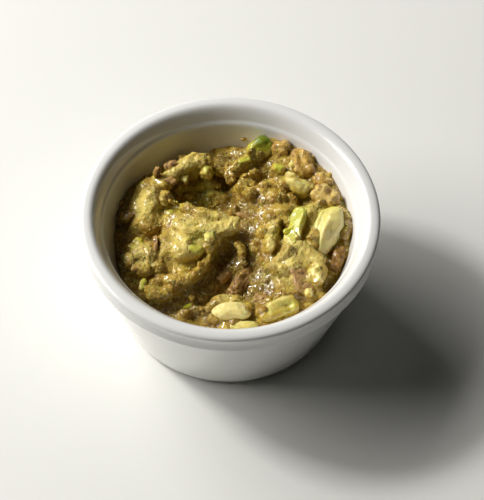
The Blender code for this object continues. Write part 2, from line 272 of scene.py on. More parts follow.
def glaze_material():
    """White gloss glaze, with a slow drift of tone and a faint waviness."""
    made, tree, shader = finish_material("white_glaze", Roughness=0.12, IOR=1.52, Specular_IOR_Level=0.5)
    place = (node(tree, "TexCoord"), "Object")
    cloud = node(tree, "TexNoise", Scale=60.0, Detail=2.0, Vector=place)
    tint = mixed(tree, (0.80, 0.80, 0.775, 1.0), (0.84, 0.84, 0.82), (cloud, "Fac"))
    wave = node(tree, "TexNoise", Scale=180.0, Detail=1.0, Vector=place)
    bump = node(tree, "Bump", Strength=0.05, Distance=0.0004, Height=(wave, "Fac"))
    feed(tree, shader, Base_Color=tint, Normal=(bump, "Normal"))
    return made


def wet_food_group():
    """Node group for all the food. From a place it gives slow clouds, two sets of specks, the film
    of moisture in patches, and the height of rounded crumbs, (1 - distance^2) x the crumb's own
    number, with fine noise. Film and height both lessen where the food is smooth paste."""
    tree = bpy.data.node_groups.new("wet_food", "ShaderNodeTree")
    socket = tree.interface.new_socket
    socket(name="Vector", in_out="INPUT", socket_type="NodeSocketVector")
    for name, usual in (("Paste", 0.0), ("Cloud Scale", 300.0), ("Crumb Scale", 1500.0), ("Crumb Share", 1.0),
                        ("Fine Share", 1.0)):
        socket(name=name, in_out="INPUT", socket_type="NodeSocketFloat").default_value = usual
    for name in ("Cloud", "Pale Specks", "Dark Specks", "Height", "Film"):
        socket(name=name, in_out="OUTPUT", socket_type="NodeSocketFloat")
    entry = tree.nodes.new("NodeGroupInput")
    place = (entry, "Vector")
    cloud = node(tree, "TexNoise", Detail=4.0, Roughness=0.6, Vector=place, Scale=(entry, "Cloud Scale"))
    dome = node(tree, "TexVoronoi", Vector=place, Scale=(entry, "Crumb Scale"))
    own = node(tree, "SeparateColor", Color=(dome, "Color"))
    drop = math_node(tree, "MULTIPLY", (dome, "Distance"), (dome, "Distance"))
    swell = math_node(tree, "MULTIPLY", (own, "Blue"), (entry, "Crumb Share"))
    domes = math_node(tree, "MULTIPLY", math_node(tree, "SUBTRACT", 1.0, drop), swell)
    fine = node(tree, "TexNoise", Scale=3200.0, Detail=1.0, Vector=place)
    height = math_node(tree, "ADD", domes, math_node(tree, "MULTIPLY", (fine, "Fac"), (entry, "Fine Share")))
    depth = node(tree, "MapRange", Value=(entry, "Paste"), To_Min=1.0, To_Max=0.4)
    wet = node(tree, "TexNoise", Scale=420.0, Detail=2.0, Vector=place)
    film = stepped(tree, (wet, "Fac"), 0.42, 0.54)
    feed(tree, tree.nodes.new("NodeGroupOutput"), Cloud=(cloud, "Fac"),
         Pale_Specks=stepped(tree, (own, "Red"), 0.60, 1.0),
         Dark_Specks=stepped(tree, (own, "Green"), 0.78, 1.0),
         Height=math_node(tree, "MULTIPLY", height, (depth, "Result")),
         Film=math_node(tree, "MULTIPLY", film, (depth, "Result")))


def food_material(slot, light, dark, tints, specks, crumbs, **values):
    """A wet food: two colours clouded together, the tint of each mask attribute laid over them,
    pale and dark specks, the relief of its crumbs, and its film of moisture as a coat."""
    settings = dict(Roughness=0.42, IOR=1.35, Subsurface_Weight=0.5, Subsurface_Scale=0.0015,
                    Subsurface_Radius=(1.0, 0.6, 0.12), Coat_Roughness=0.06, Coat_IOR=1.65)
    _, tree, shader = finish_material("wet_" + slot, **{**settings, **values})
    place = (node(tree, "TexCoord"), "Object")
    paste = node(tree, "Attribute", attribute_name="paste")
    effect = node(tree, "Group", node_tree=bpy.data.node_groups["wet_food"])
    feed(tree, effect, Vector=place, Paste=(paste, "Fac"), **crumbs)
    color = mixed(tree, (*dark, 1.0), light, stepped(tree, (effect, "Cloud"), 0.36, 0.64))
    for mask, tint, top in tints:
        spot = node(tree, "Attribute", attribute_name=mask)
        color = mixed(tree, color, tint, stepped(tree, (spot, "Fac"), 0.0, 1.0, top))
    for mask, tint, top in specks:
        color = mixed(tree, color, tint, math_node(tree, "MULTIPLY", (effect, mask), top))
    bump = node(tree, "Bump", Strength=1.0, Distance=0.0004, Height=(effect, "Height"))
    feed(tree, shader, Base_Color=color, Coat_Weight=(effect, "Film"), Normal=(bump, "Normal"))


def make_food_materials():
    """The mash, avocado flesh from cream to deep green, and the browned and tan vegetable pieces."""
    wet_food_group()
    food_material(
        "avocado_mash", (0.63, 0.435, 0.056), (0.34, 0.185, 0.015),
        # pale tint: partly paler mash, partly painted light on lit tops
        (("pale", (0.85, 0.69, 0.19), 0.85), ("green", (0.52, 0.54, 0.045), 0.5),
         # brown tint: partly brown mash, partly painted shade
         ("brown", (0.20, 0.122, 0.014), 0.75)),
        (("Pale Specks", (0.78, 0.62, 0.20), 0.3), ("Dark Specks", (0.30, 0.15, 0.02), 0.22)), {})
    food_material(
        "avocado_flesh", (0.87, 0.76, 0.27), (0.79, 0.66, 0.19),
        # pale tint: partly paler flesh, partly painted light on the side towards the lamp
        (("pale", (0.93, 0.80, 0.34), 1.0), ("green", (0.56, 0.56, 0.05), 1.0),
         ("deep", (0.16, 0.21, 0.008), 1.0), ("smear", (0.52, 0.36, 0.045), 0.9)),
        (("Dark Specks", (0.45, 0.28, 0.05), 0.2),),
        dict(Cloud_Scale=500.0, Crumb_Scale=1300.0, Crumb_Share=0.3, Fine_Share=0.35), Roughness=0.3)
    food_material(
        "browned_vegetable", (0.37, 0.20, 0.030), (0.18, 0.085, 0.010),
        (("pale", (0.56, 0.35, 0.13), 0.8), ("smear", (0.46, 0.31, 0.035), 0.9)),
        (("Pale Specks", (0.46, 0.27, 0.09), 0.5), ("Dark Specks", (0.06, 0.024, 0.008), 0.7)),
        dict(Cloud_Scale=700.0, Crumb_Scale=1200.0, Crumb_Share=0.8, Fine_Share=0.8),
        Roughness=0.5, Coat_IOR=1.4)
    food_material(
        "tan_vegetable", (0.70, 0.46, 0.10), (0.46, 0.26, 0.042),
        (("smear", (0.46, 0.31, 0.035), 0.9), ("pale", (0.80, 0.60, 0.20), 0.7)),
        (("Dark Specks", (0.20, 0.085, 0.025), 0.6),),
        dict(Cloud_Scale=450.0, Crumb_Scale=1300.0, Crumb_Share=0.9, Fine_Share=0.9), Coat_IOR=1.55)


# ---- pot
def arc(middle_r, middle_z, size_r, size_z, start, end, steps):
    """Points on an ellipse's arc in the (radius, height) plane, between two angles in degrees."""
    angle = np.radians(np.linspace(start, end, steps + 1))
    return np.stack([middle_r + size_r * np.cos(angle), middle_z + size_z * np.sin(angle)], axis=1)


def bow(handles, steps):
    """Points on the cubic curve pulled by four (radius, height) handles, weighted by the terms of
    ((1 - t) + t)^3."""
    t = np.linspace(0.0, 1.0, steps + 1)[:, None]
    a, b, c, d = [np.array(handle) for handle in handles]
    return a * (1.0 - t)**3 + b * 3.0 * t * (1.0 - t)**2 + c * 3.0 * t**2 * (1.0 - t) + d * t**3


def straight(start, end, steps):
    """Evenly spaced points between two (radius, height) places, without the ends."""
    share = np.linspace(0.0, 1.0, steps + 2)[1:-1, None]
    return np.array(start) * (1.0 - share) + np.array(end) * share


def inner_wall_radius(height):
    """Radius of the pot's straight inner wall at a height."""
    return LEDGE_RADIUS - LEDGE_STEP - INNER_SLOPE * (LEDGE_HEIGHT - height)


def pot_profile():
    """Half section of the pot from the middle of its base, up the outside, over and down to the floor."""
    base_run = BASE_ROUND_RADIUS - BASE_RADIUS
    groove = RIM_RADIUS - COLLAR_GROOVE
    widest = (RIM_RADIUS, WIDEST_HEIGHT)
    crest = (CREST_RADIUS, POT_HEIGHT)
    ledge_foot = LEDGE_HEIGHT - LEDGE_STEP
    floor_top = FLOOR_HEIGHT + FLOOR_ROUND
    floor_edge = inner_wall_radius(floor_top) - FLOOR_ROUND_RUN
    wall_foot = (inner_wall_radius(floor_top), floor_top)
    parts = [straight((0.0, 0.0), (BASE_RADIUS, 0.0), 6)]
    parts.append(arc(BASE_RADIUS, BASE_ROUND_HEIGHT, base_run, BASE_ROUND_HEIGHT, -90.0, -6.0, 10))
    parts.append(straight(parts[-1][-1], (WALL_TOP_RADIUS, COLLAR_FOOT - 0.2), 24))
    parts.append(arc(WALL_TOP_RADIUS + 0.25, COLLAR_FOOT - 0.4, 0.25, 0.35, 180.0, 90.0, 3))
    parts.append(arc(COLLAR_FOOT_RADIUS - 0.35, COLLAR_FOOT + 0.5, 0.35, 0.5, -90.0, 0.0, 4))
    parts.append(bow([(COLLAR_FOOT_RADIUS, COLLAR_FOOT + 0.6), (groove, COLLAR_FOOT + 2.4),
                      (groove, WIDEST_HEIGHT - 1.6), widest], 12))
    parts.append(bow([widest, (RIM_RADIUS, WIDEST_HEIGHT + 0.8), (RIM_RADIUS - 0.7, POT_HEIGHT),
                      crest], 16)[1:])
    parts.append(bow([crest, (CREST_RADIUS - 1.7, POT_HEIGHT), (LEDGE_RADIUS + 1.4, LEDGE_HEIGHT + 2.3),
                      (LEDGE_RADIUS + 0.1, LEDGE_HEIGHT)], 18)[1:])
    parts.append(arc(LEDGE_RADIUS - 0.2, ledge_foot + 0.25, 0.2, 0.2, 0.0, -80.0, 3))
    parts.append(straight((inner_wall_radius(ledge_foot), ledge_foot), wall_foot, 24))
    parts.append(arc(floor_edge, floor_top, FLOOR_ROUND_RUN, FLOOR_ROUND, 0.0, -90.0, 10))
    parts.append(straight((floor_edge, FLOOR_HEIGHT), (0.0, FLOOR_HEIGHT), 4))
    return np.concatenate(parts)


def make_pot():
    """The ramekin: its half section carried round the upright axis, point = (r cos a, r sin a, z),
    with r drawn in by up to a few hundredths of a millimetre, as a thrown pot is never quite true."""
    profile = pot_profile()
    angle = np.linspace(0.0, math.tau, POT_SEGMENTS, endpoint=False)
    radius = profile[:, :1] * np.ones_like(angle)
    height = profile[:, 1:] * np.ones_like(angle)
    points = np.stack([radius * np.cos(angle), radius * np.sin(angle), height], axis=-1).reshape(-1, 3)
    above_base = np.clip((points[:, 2] - 1.0) / 4.0, 0.0, 1.0)
    ripple = GLAZE_RIPPLE * smooth_noise(points, 14.0, 5) * above_base
    points[:, :2] *= (1.0 - np.abs(ripple) / RIM_RADIUS)[:, None]
    ends = np.array([[0.0, 0.0, 0.0], [0.0, 0.0, FLOOR_HEIGHT]])
    quads, caps = ring_faces(len(profile), POT_SEGMENTS)
    faces = (np.concatenate([points, ends]), quads[:, ::-1], caps[:, ::-1])
    add_piece("white_pot", faces, "white_glaze", "ramekin", material=glaze_material())


# ---- mash
class Field:
    """Signed distance to the mash's surface on a grid of points: below zero inside the mash.

    The folds hang over hollows, which no height above a plane can hold, so the heap is the zero
    level of this field. Each part of the heap is a distance formula, worked out on the block of
    grid points near it, and joined to the rest by a smooth minimum.
    """

    def __init__(self):
        axis_x = np.arange(-HEAP_REACH, HEAP_REACH + STEP, STEP, dtype=np.float32)
        axis_z = np.arange(HEAP_FLOOR - 1.0, HEAP_TOP + STEP, STEP, dtype=np.float32)
        self.axes = (axis_x, axis_x, axis_z)
        self.still = np.stack(np.meshgrid(*self.axes, indexing="ij"))
        shove = sum(np.stack([self.noise(cell, seed + axis) for axis in range(3)]) * size
                    for cell, seed, size in SHOVES)
        self.places = self.still + shove

    def noise(self, cell, seed):
        """Noise from -1 to 1 on the grid: random numbers on a coarse lattice, spread to the fine
        one along each axis in turn with the weights 3t^2 - 2t^3."""
        spread = []
        for axis in self.axes:
            place = (axis - axis[0]) / cell
            low = np.floor(place).astype(int)
            share = eased(place - low)
            weights = np.zeros((len(axis), low.max() + 2), dtype=np.float32)
            weights[np.arange(len(axis)), low] = 1.0 - share
            weights[np.arange(len(axis)), low + 1] += share
            spread.append(weights)
        lattice = np.random.default_rng(seed).uniform(-1.0, 1.0, [w.shape[1] for w in spread])
        result = lattice.astype(np.float32)
        for weights in spread:
            result = np.tensordot(result, weights, axes=(0, 1))
        return result

    def window(self, low, high):
        """The block of grid points between two corners."""
        return tuple(slice(*np.searchsorted(axis, ends)) for axis, *ends in zip(self.axes, low, high))

    def join(self, block, other, softness, carve=False):
        """Smooth minimum with another distance: near the seam the two are blended over a band of
        that softness. To carve, the other shape is taken away by a smooth maximum instead."""
        mine = -self.distance[block] if carve else self.distance[block]
        share = np.clip(0.5 + 0.5 * (mine - other) / softness, 0.0, 1.0)
        joined = mine * (1.0 - share) + other * share - softness * share * (1.0 - share)
        self.distance[block] = -joined if carve else joined

    def land(self):
        """Start from the lie of the land: its height at (x, y) is the average of the LAND places'
        heights, each weighted by exp(-(distance / spread)^2), and the distance to it is the height
        above it times the cosine of its slope."""
        axis = self.axes[0]
        x, y = np.meshgrid(axis, axis, indexing="ij")
        total = np.zeros_like(x)
        level = np.zeros_like(x)
        for place in np.array(LAND):
            weight = np.exp(-((x - place[0])**2 + (y - place[1])**2) / LAND_SPREAD**2) + 1e-9
            total += weight
            level += weight * place[2]
        level /= total
        slope_x, slope_y = np.gradient(level, STEP)
        flatness = 1.0 / np.sqrt(1.0 + slope_x**2 + slope_y**2)
        column = (self.places[0] - axis[0]) / STEP
        row = (self.places[1] - axis[0]) / STEP
        i = np.clip(column.astype(int), 0, len(axis) - 2)
        j = np.clip(row.astype(int), 0, len(axis) - 2)
        a, b = column - i, row - j
        here = (level[i, j] * (1 - a) * (1 - b) + level[i + 1, j] * a * (1 - b)
                + level[i, j + 1] * (1 - a) * b + level[i + 1, j + 1] * a * b)
        self.distance = ((self.places[2] - here) * flatness[i, j]).astype(np.float32)

    def wrinkle(self, cell, seed, height):
        """Thin ridges, or creases where the height is below zero: height x (1 - |n| / 0.1)^2 where
        slow noise n passes through zero, fading in and out with a second noise."""
        near = np.clip(1.0 - np.abs(self.noise(cell, seed)) / 0.1, 0.0, 1.0) ** 2
        self.distance -= height * near * np.clip(0.3 + self.noise(cell * 1.3, seed + 1), 0.0, 1.0)

    def lump(self, middle, sizes, turn=0.0, tilt=0.0, softness=LUMP_SOFTNESS, carve=False):
        """Ellipsoid: with k the length of p / size and m that of p / size^2, the distance is
        k (k - 1) / m. It is turned about the upright, then tilted about its own width."""
        middle = np.array(middle, dtype=np.float32)
        reach = max(sizes) + 3.0
        block = self.window(middle - reach, middle + reach)
        x, y, z = self.places[(slice(None),) + block] - middle[:, None, None, None]
        cos_turn, sin_turn = math.cos(math.radians(turn)), math.sin(math.radians(turn))
        along, across = x * cos_turn + y * sin_turn, y * cos_turn - x * sin_turn
        cos_tilt, sin_tilt = math.cos(math.radians(tilt)), math.sin(math.radians(tilt))
        along, through = along * cos_tilt + z * sin_tilt, z * cos_tilt - along * sin_tilt
        length, width, height = sizes
        near = np.sqrt((along / length) ** 2 + (across / width) ** 2 + (through / height) ** 2)
        steep = np.sqrt((along / length**2) ** 2 + (across / width**2) ** 2 + (through / height**2) ** 2)
        self.join(block, near * (near - 1.0) / np.maximum(steep, 1e-6), softness, carve)

    def fold(self, crest):
        """Rope of mash: distance to a line through the points (x, y, z, radius), less the radius
        there."""
        crest = np.array(crest, dtype=np.float32)
        reach = crest[:, 3].max() + 2.5
        block = self.window(crest[:, :3].min(axis=0) - reach, crest[:, :3].max(axis=0) + reach)
        places = self.places[(slice(None),) + block]
        best = np.full(places.shape[1:], np.inf, dtype=np.float32)
        for start, end in zip(crest, crest[1:]):
            foot = start[:3, None, None, None]
            run = (end - start)[:3, None, None, None]
            share = np.clip(((places - foot) * run).sum(axis=0) / (run * run).sum(), 0.0, 1.0)
            away = np.sqrt(((places - foot - run * share) ** 2).sum(axis=0))
            best = np.minimum(best, away - (start[3] + (end[3] - start[3]) * share))
        self.join(block, best, FOLD_SOFTNESS)


# Lie of the mash between its folds: places (x, y, height) that its surface passes near, in mm.
LAND = [
    # along the back wall
    (-23, 26, 28), (-19, 30, 27.5), (-11, 34, 27), (-4, 32, 28.5), (3, 36, 29), (-1, 30, 31),
    (5, 28, 32.5),
    # the ridge at the back left and the slope in front of it
    (-13, 24, 35), (-17, 21, 34), (-14, 22, 31), (-9, 23, 30.5), (-6, 23, 31),
    # the valley, down to the foot of the great fold
    (-18, 18, 30), (-15, 20, 28.5), (-12, 19, 27.5), (-7, 21, 26.5), (-2, 21, 26), (-12, 15, 27),
    (-7, 17, 27.5), (-4, 17, 27.5), (-8, 13, 25), (-3, 13, 24.5), (1, 13, 26), (-10, 9, 27), (-4, 8, 27),
    (0, 7, 28),
    # right of the crevice
    (3, 20, 32.5), (5, 15, 32.5), (2, 11, 28), (6, 10, 30.5), (2, 7, 27.5), (5, 7, 29),
    # back right
    (7, 24, 31.5), (10, 27, 32.5), (15, 27, 34.5), (19, 27, 34.5), (10, 21, 31.5), (10, 15, 33.5),
    (15, 19, 34), (19, 19, 34.5), (21, 14, 30.5), (13, 13, 35), (18, 12, 34), (24, 21, 34), (28, 19, 34),
    (27, 14, 34), (32, 14, 33.5), (12, 31, 34.5),
    # middle
    (10, 9, 33), (14, 7, 35.5), (17, 8, 35), (9, 5, 31.5), (12, 1, 34.5), (9, -2, 33.5), (12, -5, 34),
    (6, 1, 30.5), (5, 4, 30), (3, 2, 29.5),
    # right, where the long pieces lie
    (20, 2, 35), (21, -3, 34), (25, 6, 34.5), (25, -1, 33.5), (29, 3, 34), (32, 3, 34), (33, -3, 32),
    (30, -8, 30.5), (27, -8, 33), (16, -2, 32),
    # hollows between the great fold and the right mound
    (4, -7, 30), (3, -11, 28.5), (-1, 0, 28.5), (-1, -3, 26), (-2, -7, 26.5), (-2, -11, 28),
    (0, -12, 24.5), (1, -15, 24), (7, -6, 30.5), (8, -9, 29.5), (7, -14, 29), (9, -17, 29), (6, -18, 26.5),
    # right mound
    (14, -9, 32.5), (18, -9, 35), (22, -7, 35.5), (25, -11, 35), (21, -13, 34.5), (17, -15, 33),
    (12, -15, 30.5), (24, -17, 33.5), (21, -20, 32), (17, -20, 32), (12, -20, 29), (28, -14, 27),
    (30, -10, 28), (23, -23, 30.5),
    # front
    (3, -21, 26.5), (-1, -24, 28.5), (7, -25, 29.5), (11, -24, 30), (17, -24, 30.5), (1, -29, 29),
    (7, -30, 28.5), (14, -27, 29),
    # front left, low along the wall
    (-4, -21, 24.5), (-8, -22, 24), (-12, -20, 25), (-8, -26, 24), (-4, -27, 26), (-16, -21, 24.5),
    (-22, -21, 23.5), (-19, -23, 23.5), (-12, -26, 25), (-27, -18, 23.5),
    # lower left mound and the slab in front of it
    (-29, -10, 31.5), (-26, -10, 33), (-23, -9, 32.5), (-20, -11, 31), (-24, -6, 32.5), (-27, -6, 33),
    (-27, -13, 31.5), (-24, -14, 29), (-19, -14, 29), (-32, -8, 26), (-33, -3, 25.5), (-31, -12, 25),
    (-29, -15, 24.5), (-24, -18, 29.5), (-20, -19, 30), (-16, -18, 29), (-13, -15, 31), (-9, -12, 30.5),
    (-6, -8, 30), (-11, -17, 26.5), (-7, -15, 26.5), (-5, -11, 26.5),
    # along the left wall
    (-32, 4, 26.5), (-33, 8, 27.5), (-31, -1, 27), (-27, -1, 28), (-24, 0, 27.5), (-20, -1, 31),
    (-33, 12, 28.5), (-31, 18, 28.5), (-28, 21, 29), (-31, 8, 30), (-30, 13, 30),
    # left lobe
    (-25, 12, 35), (-23, 15, 35), (-25, 8, 34.5), (-24, 4, 34), (-27, 4, 33), (-21, 6, 32),
    (-27, 10, 34.5), (-29, 9, 33), (-28, 16, 31), (-21, 11, 33),
    # great fold
    (-18, 7, 32), (-15, 6, 35), (-12, 4, 35.5), (-7, 3, 36), (-3, 2, 36), (0, 1, 36), (-16, 2, 34.5),
    (-12, -1, 35.5), (-7, -1, 35.5), (-3, -1, 34.5), (-18, -1, 33.5), (-15, -3, 34.5), (-12, -5, 34.5),
    (-15, -6, 34), (-18, -5, 33), (-8, -4, 34.5), (-20, -5, 31.5), (-15, -10, 29.5), (-10, -9, 29.5),
]

# Folds: crest line as points (x, y, z of the rope's middle, radius).
FOLDS = [
    # left lobe: a broad tongue hanging towards the front
    [(-21, 17, 32.5, 2.5), (-23.5, 13, 32, 3.2), (-24.5, 9, 31.5, 3.6), (-25, 5.5, 31.5, 3.2),
     (-25, 2.5, 31.5, 2.2)],
    # its back edge, running up to the ridge
    [(-27.5, 16, 30, 2), (-24.5, 17, 32.5, 2.2), (-21.5, 18.5, 33, 2.2)],
    # back left ridge and the knob it ends in
    [(-20, 16.5, 33.5, 2), (-18.5, 19.5, 33.5, 2.1), (-15.5, 22, 34, 2.2), (-13, 24, 34.5, 2.2),
     (-10.5, 25.5, 34.5, 2.5), (-8.5, 25, 34, 2.9)],
    # ridge up to the green end at the back
    [(-1, 22, 32, 1.7), (1.5, 24.5, 32.5, 1.8), (4.5, 26.5, 32.5, 1.9), (7.5, 28.5, 33, 2.3),
     (9, 30.5, 33, 2.6)],
    # body of the great fold
    [(-16, 4.5, 32, 3), (-12, 2, 32.5, 3.4), (-8, 1, 33, 3.2), (-4, 0.5, 33.5, 2.8), (0, 0.5, 34.5, 2)],
    # its crest, uneven
    [(-19.5, 10.5, 34.5, 1.4), (-17, 8.5, 35.4, 1.4), (-15, 7.5, 34.7, 1.3), (-13, 6.5, 35.7, 1.5),
     (-10.5, 5.2, 35, 1.4), (-8.5, 4.8, 35.9, 1.6), (-5.5, 3.8, 35.3, 1.5), (-3, 3.2, 36, 1.5),
     (-0.5, 2.4, 35.4, 1.4), (2, 1.8, 35.9, 1.3)],
    # its lower edge, out to the nose
    [(-16, 1, 34.4, 1.6), (-12, -1.5, 34.2, 1.8), (-9, -1.5, 34.6, 1.8), (-5, -1, 34.7, 1.9),
     (-1.5, -0.5, 35, 1.8), (1.5, 0, 35.4, 1.5)],
    # bulge below it
    [(-19.5, -3, 31.5, 2.2), (-17.5, -5.5, 31.5, 2.5), (-14.5, -7, 31.7, 2.8), (-11, -6.5, 31.8, 2.7),
     (-8, -4, 32.3, 2.1)],
    # crescent in front of the lower mound
    [(-22.5, -16, 28.2, 1.4), (-19.5, -15.5, 29, 1.6), (-16, -16, 29.3, 1.8), (-13, -16, 29.6, 1.8),
     (-10, -14.5, 30, 1.7), (-8, -12, 30.4, 1.5), (-7, -10, 31, 1.2), (-6, -7.5, 31.5, 0.9)],
    # thin ridge between the hollows
    [(3, -4, 32, 1.1), (4, -7, 31.8, 1.2), (4.5, -9.5, 31, 1.1)],
    # rim of the right mound
    [(15, -10, 33, 1.7), (18, -8, 34, 1.9), (21.5, -6.5, 34.7, 1.9), (24.5, -8, 34.6, 1.8),
     (27, -10.5, 34.3, 1.8), (28, -14, 33.7, 1.7), (26.5, -17, 32.7, 1.5)],
    # mash lapping over the back of the bean and of the slab
    [(-5, -25.5, 29, 1.5), (-3, -23.5, 30, 1.5), (0, -22.8, 30.8, 1.5), (3, -23.2, 31.2, 1.5),
     (6.5, -25, 30.8, 1.4)],
    [(9.5, -26, 29.6, 1.9), (12, -23.5, 31, 1.6), (16, -22, 31.6, 1.6), (20, -21.5, 31, 1.6)],
    # fold on the middle slope
    [(3, 3, 29.6, 1.2), (6, -1, 31, 1.4), (8, -4.5, 31, 1.5), (10.5, -7.5, 30.8, 1.5)],
    # band of mash between the half moon and the wall
    [(32, 11, 32.8, 1.7), (34.4, 6, 33.8, 1.9), (34.6, 0, 33, 1.8)],
]

# Lumps: middle, half sizes, and for some a turn in degrees.
LUMPS = [
    # knobs of the great fold: at its back end and its hanging tip
    ((-19.5, 12, 35.4), (1.6, 1.4, 1.8)), ((-6, -4.5, 32.6), (2.2, 2.8, 2.6), -15),
    ((-4.5, -2, 33.4), (2.6, 2, 2.4)),
    # lower left mound
    ((-28.5, -10, 30), (2.4, 2.8, 2.8)), ((-25, -8, 31), (3, 2.6, 2.8)), ((-21, -12, 29.6), (2.2, 2, 2.4)),
    ((-26, -13, 30), (2.4, 2, 2.4)),
    # slab in front of it
    ((-24.5, -18.5, 27.2), (1.8, 2.4, 2.4), -40), ((-21, -20, 27.6), (3.6, 2.2, 2.4), -20),
    ((-17.5, -19, 28), (2.2, 2, 2.2)),
    # knobs round the valley
    ((-7.5, 21.5, 32.4), (1.9, 2, 2.2)), ((-4, 23.5, 31.4), (1.8, 1.6, 2)),
    ((-14.5, 19.5, 31), (1.6, 1.6, 2)), ((-11, 23, 31.5), (1.8, 1.6, 2.2)),
    ((-16, 18, 29.2), (2.2, 1.6, 2.2), 30), ((-10.5, 20.5, 28.6), (2.4, 1.6, 2)),
    ((-6, 21, 28.2), (2, 1.5, 2)), ((-12.5, 16.5, 27.4), (1.8, 1.3, 1.6)),
    ((-2, 17.5, 26.4), (2, 1.4, 1.6)), ((-6, 17.5, 26.6), (3.2, 1.6, 1.8)),
    ((-10, 15, 25.6), (1.8, 1.4, 1.4)), ((1.5, 10.5, 28.6), (1.8, 1.4, 1.6)),
    ((-0.5, 25, 31.6), (1.6, 2.4, 2)),
    # crumbly edge against the back wall
    ((-2.5, 29.5, 29.6), (2.6, 2, 2.2)), ((1.5, 32, 29.6), (2.4, 2, 2.2)), ((4.5, 31, 30.6), (2, 1.8, 2)),
    # back right
    ((13, 30.5, 33.6), (2, 1.8, 2.2)), ((14, 23, 33.6), (2.4, 1.8, 2)), ((18.5, 23.5, 34), (2, 1.6, 1.6)),
    ((7, 22, 32), (2.2, 1.4, 1.8), 20), ((17, 17.5, 34), (2.2, 1.6, 1.8), 30),
    # middle of the back
    ((3.5, 17, 32.6), (2, 2, 2.6)), ((6, 14.5, 32.4), (2.4, 2, 2.4)), ((10.5, 17, 32.6), (2.4, 2, 2.2)),
    ((14, 12, 33.6), (2.8, 2.2, 2.6)), ((18.5, 13, 32.8), (2.2, 2, 2.2)),
    ((10, 12, 32.4), (1.8, 1.4, 1.8), 40),
    # middle mound
    ((9.5, 0, 32), (2.4, 2.4, 2.8)), ((12, -4, 32.8), (2, 3, 3), 10), ((16, 7.5, 34), (2.2, 2, 2.2)),
    ((12, 5.5, 33), (2.2, 1.8, 2.2), -30), ((14.5, 2.5, 34), (2, 1.6, 1.8), 20),
    ((7.5, -3, 31.2), (1.6, 1.6, 1.8)),
    # round the long pieces on the right
    ((31, 15, 32), (2.2, 2.6, 2.2)), ((29, 10.5, 32.6), (2.4, 1.8, 2.2)),
    ((24.5, 6.5, 33.2), (1.8, 3.4, 2.6)), ((25.5, 1, 32.6), (1.6, 2.6, 2.2), 15),
    ((31, -9.5, 29.4), (1.6, 2, 1.8)), ((25.6, -2.5, 34), (1.8, 3.4, 2.4), 10),
    ((27.5, 10, 33.4), (2.6, 1.6, 2.6), 20), ((17.5, 7, 34.4), (1.8, 2.2, 2)),
    ((14.5, -30, 28), (2.6, 1.5, 2), 25), ((19.5, -5.5, 33.6), (3, 1.8, 2)),
    # right mound
    ((25.5, -15, 32), (2.6, 3.4, 3.2), 20), ((20, -12, 33.2), (2.8, 2.4, 2.4)),
    ((16, -13.5, 32.4), (2.6, 2.2, 2.2)), ((24, -20, 30.6), (1.8, 2.2, 2.4)),
    ((21.5, -23.5, 29), (1.8, 1.6, 1.8)), ((13, -11.5, 31), (2.2, 1.6, 1.8), 30),
    # front
    ((6, -26, 31.4), (1.6, 1.5, 1.9), 20), ((-3.5, -29.5, 29), (2, 1.4, 1.8)),
    ((3, -29.8, 28.6), (2.6, 1.4, 2)), ((10.5, -27, 30.6), (1.8, 1.6, 2.2)),
    ((17, -25.5, 30.6), (2.4, 1.5, 2), 15), ((1, -30, 27.4), (4, 2, 2.2)),
    ((10.5, -29, 27.6), (3.6, 1.8, 2), 15), ((-5.5, -28, 25.2), (1.8, 1.6, 2)),
    ((18, -20.5, 30.2), (3, 1.4, 1.8), 12), ((-9, -23, 24), (2.6, 1.7, 1.8), 20),
    ((-12.5, -24.5, 24.6), (2, 1.6, 1.8)), ((-5.5, -23.5, 24.5), (1.8, 1.6, 1.8)),
    ((-14.5, -21, 24.6), (1.8, 1.4, 1.6), -20), ((-8, -18.5, 24.5), (2.4, 1.6, 1.6), 10),
    # against the left wall
    ((-31, 7, 29.2), (1.6, 2, 1.8)), ((-32, 12.5, 28), (1.2, 1.4, 1.4)),
    ((-30.5, 16.5, 28.2), (1.6, 1.6, 1.6), 40), ((-32.5, 1.5, 26), (1.2, 1.6, 1.4)),
    ((-27.5, -3.5, 27.8), (1.8, 1.6, 1.6), -30),
]

# Hollows scooped out of the mash: middle, half sizes and turn.
HOLLOWS = [
    # crevice at the middle of the back
    ((-0.5, 22.5, 29), (1.3, 2.6, 4)),
    # small gaps
    ((8, 20.5, 33.4), (1.8, 0.9, 2.4)), ((15.5, 1, 33.6), (1.2, 3, 3)),
    ((28.5, -11.5, 30.4), (1.3, 3.2, 4), -35), ((8, -7, 31.6), (0.8, 0.8, 2)),
    ((-6, 29, 32.5), (0.8, 1.2, 2)), ((-8.5, -15.5, 29.4), (0.7, 0.7, 1.4)),
    ((21.5, 14.5, 34), (2.6, 1.2, 1.6), 30),
    # hollow between the lobe and the great fold, and the crease below its crest
    ((-18, 7.8, 34.4), (3.2, 1.9, 3.2), -15), ((-14, 4, 36.6), (3.6, 0.7, 1.6), -25),
]

# Smooth pasty patches of the mash: middle and radius.
PASTY = [
    ((-20, 16, 35), 3), ((-8, 26, 35), 3.6), ((-6, 3, 36), 5), ((-14, -8, 32), 5), ((-9, -11, 31), 4.5),
    ((25, -11, 34), 4.5), ((0, 1, 36), 4), ((-15, 0, 35), 4), ((12, -5, 35), 3.5), ((-18, -17, 28), 4.5),
    ((-24, 3, 34), 4),
]
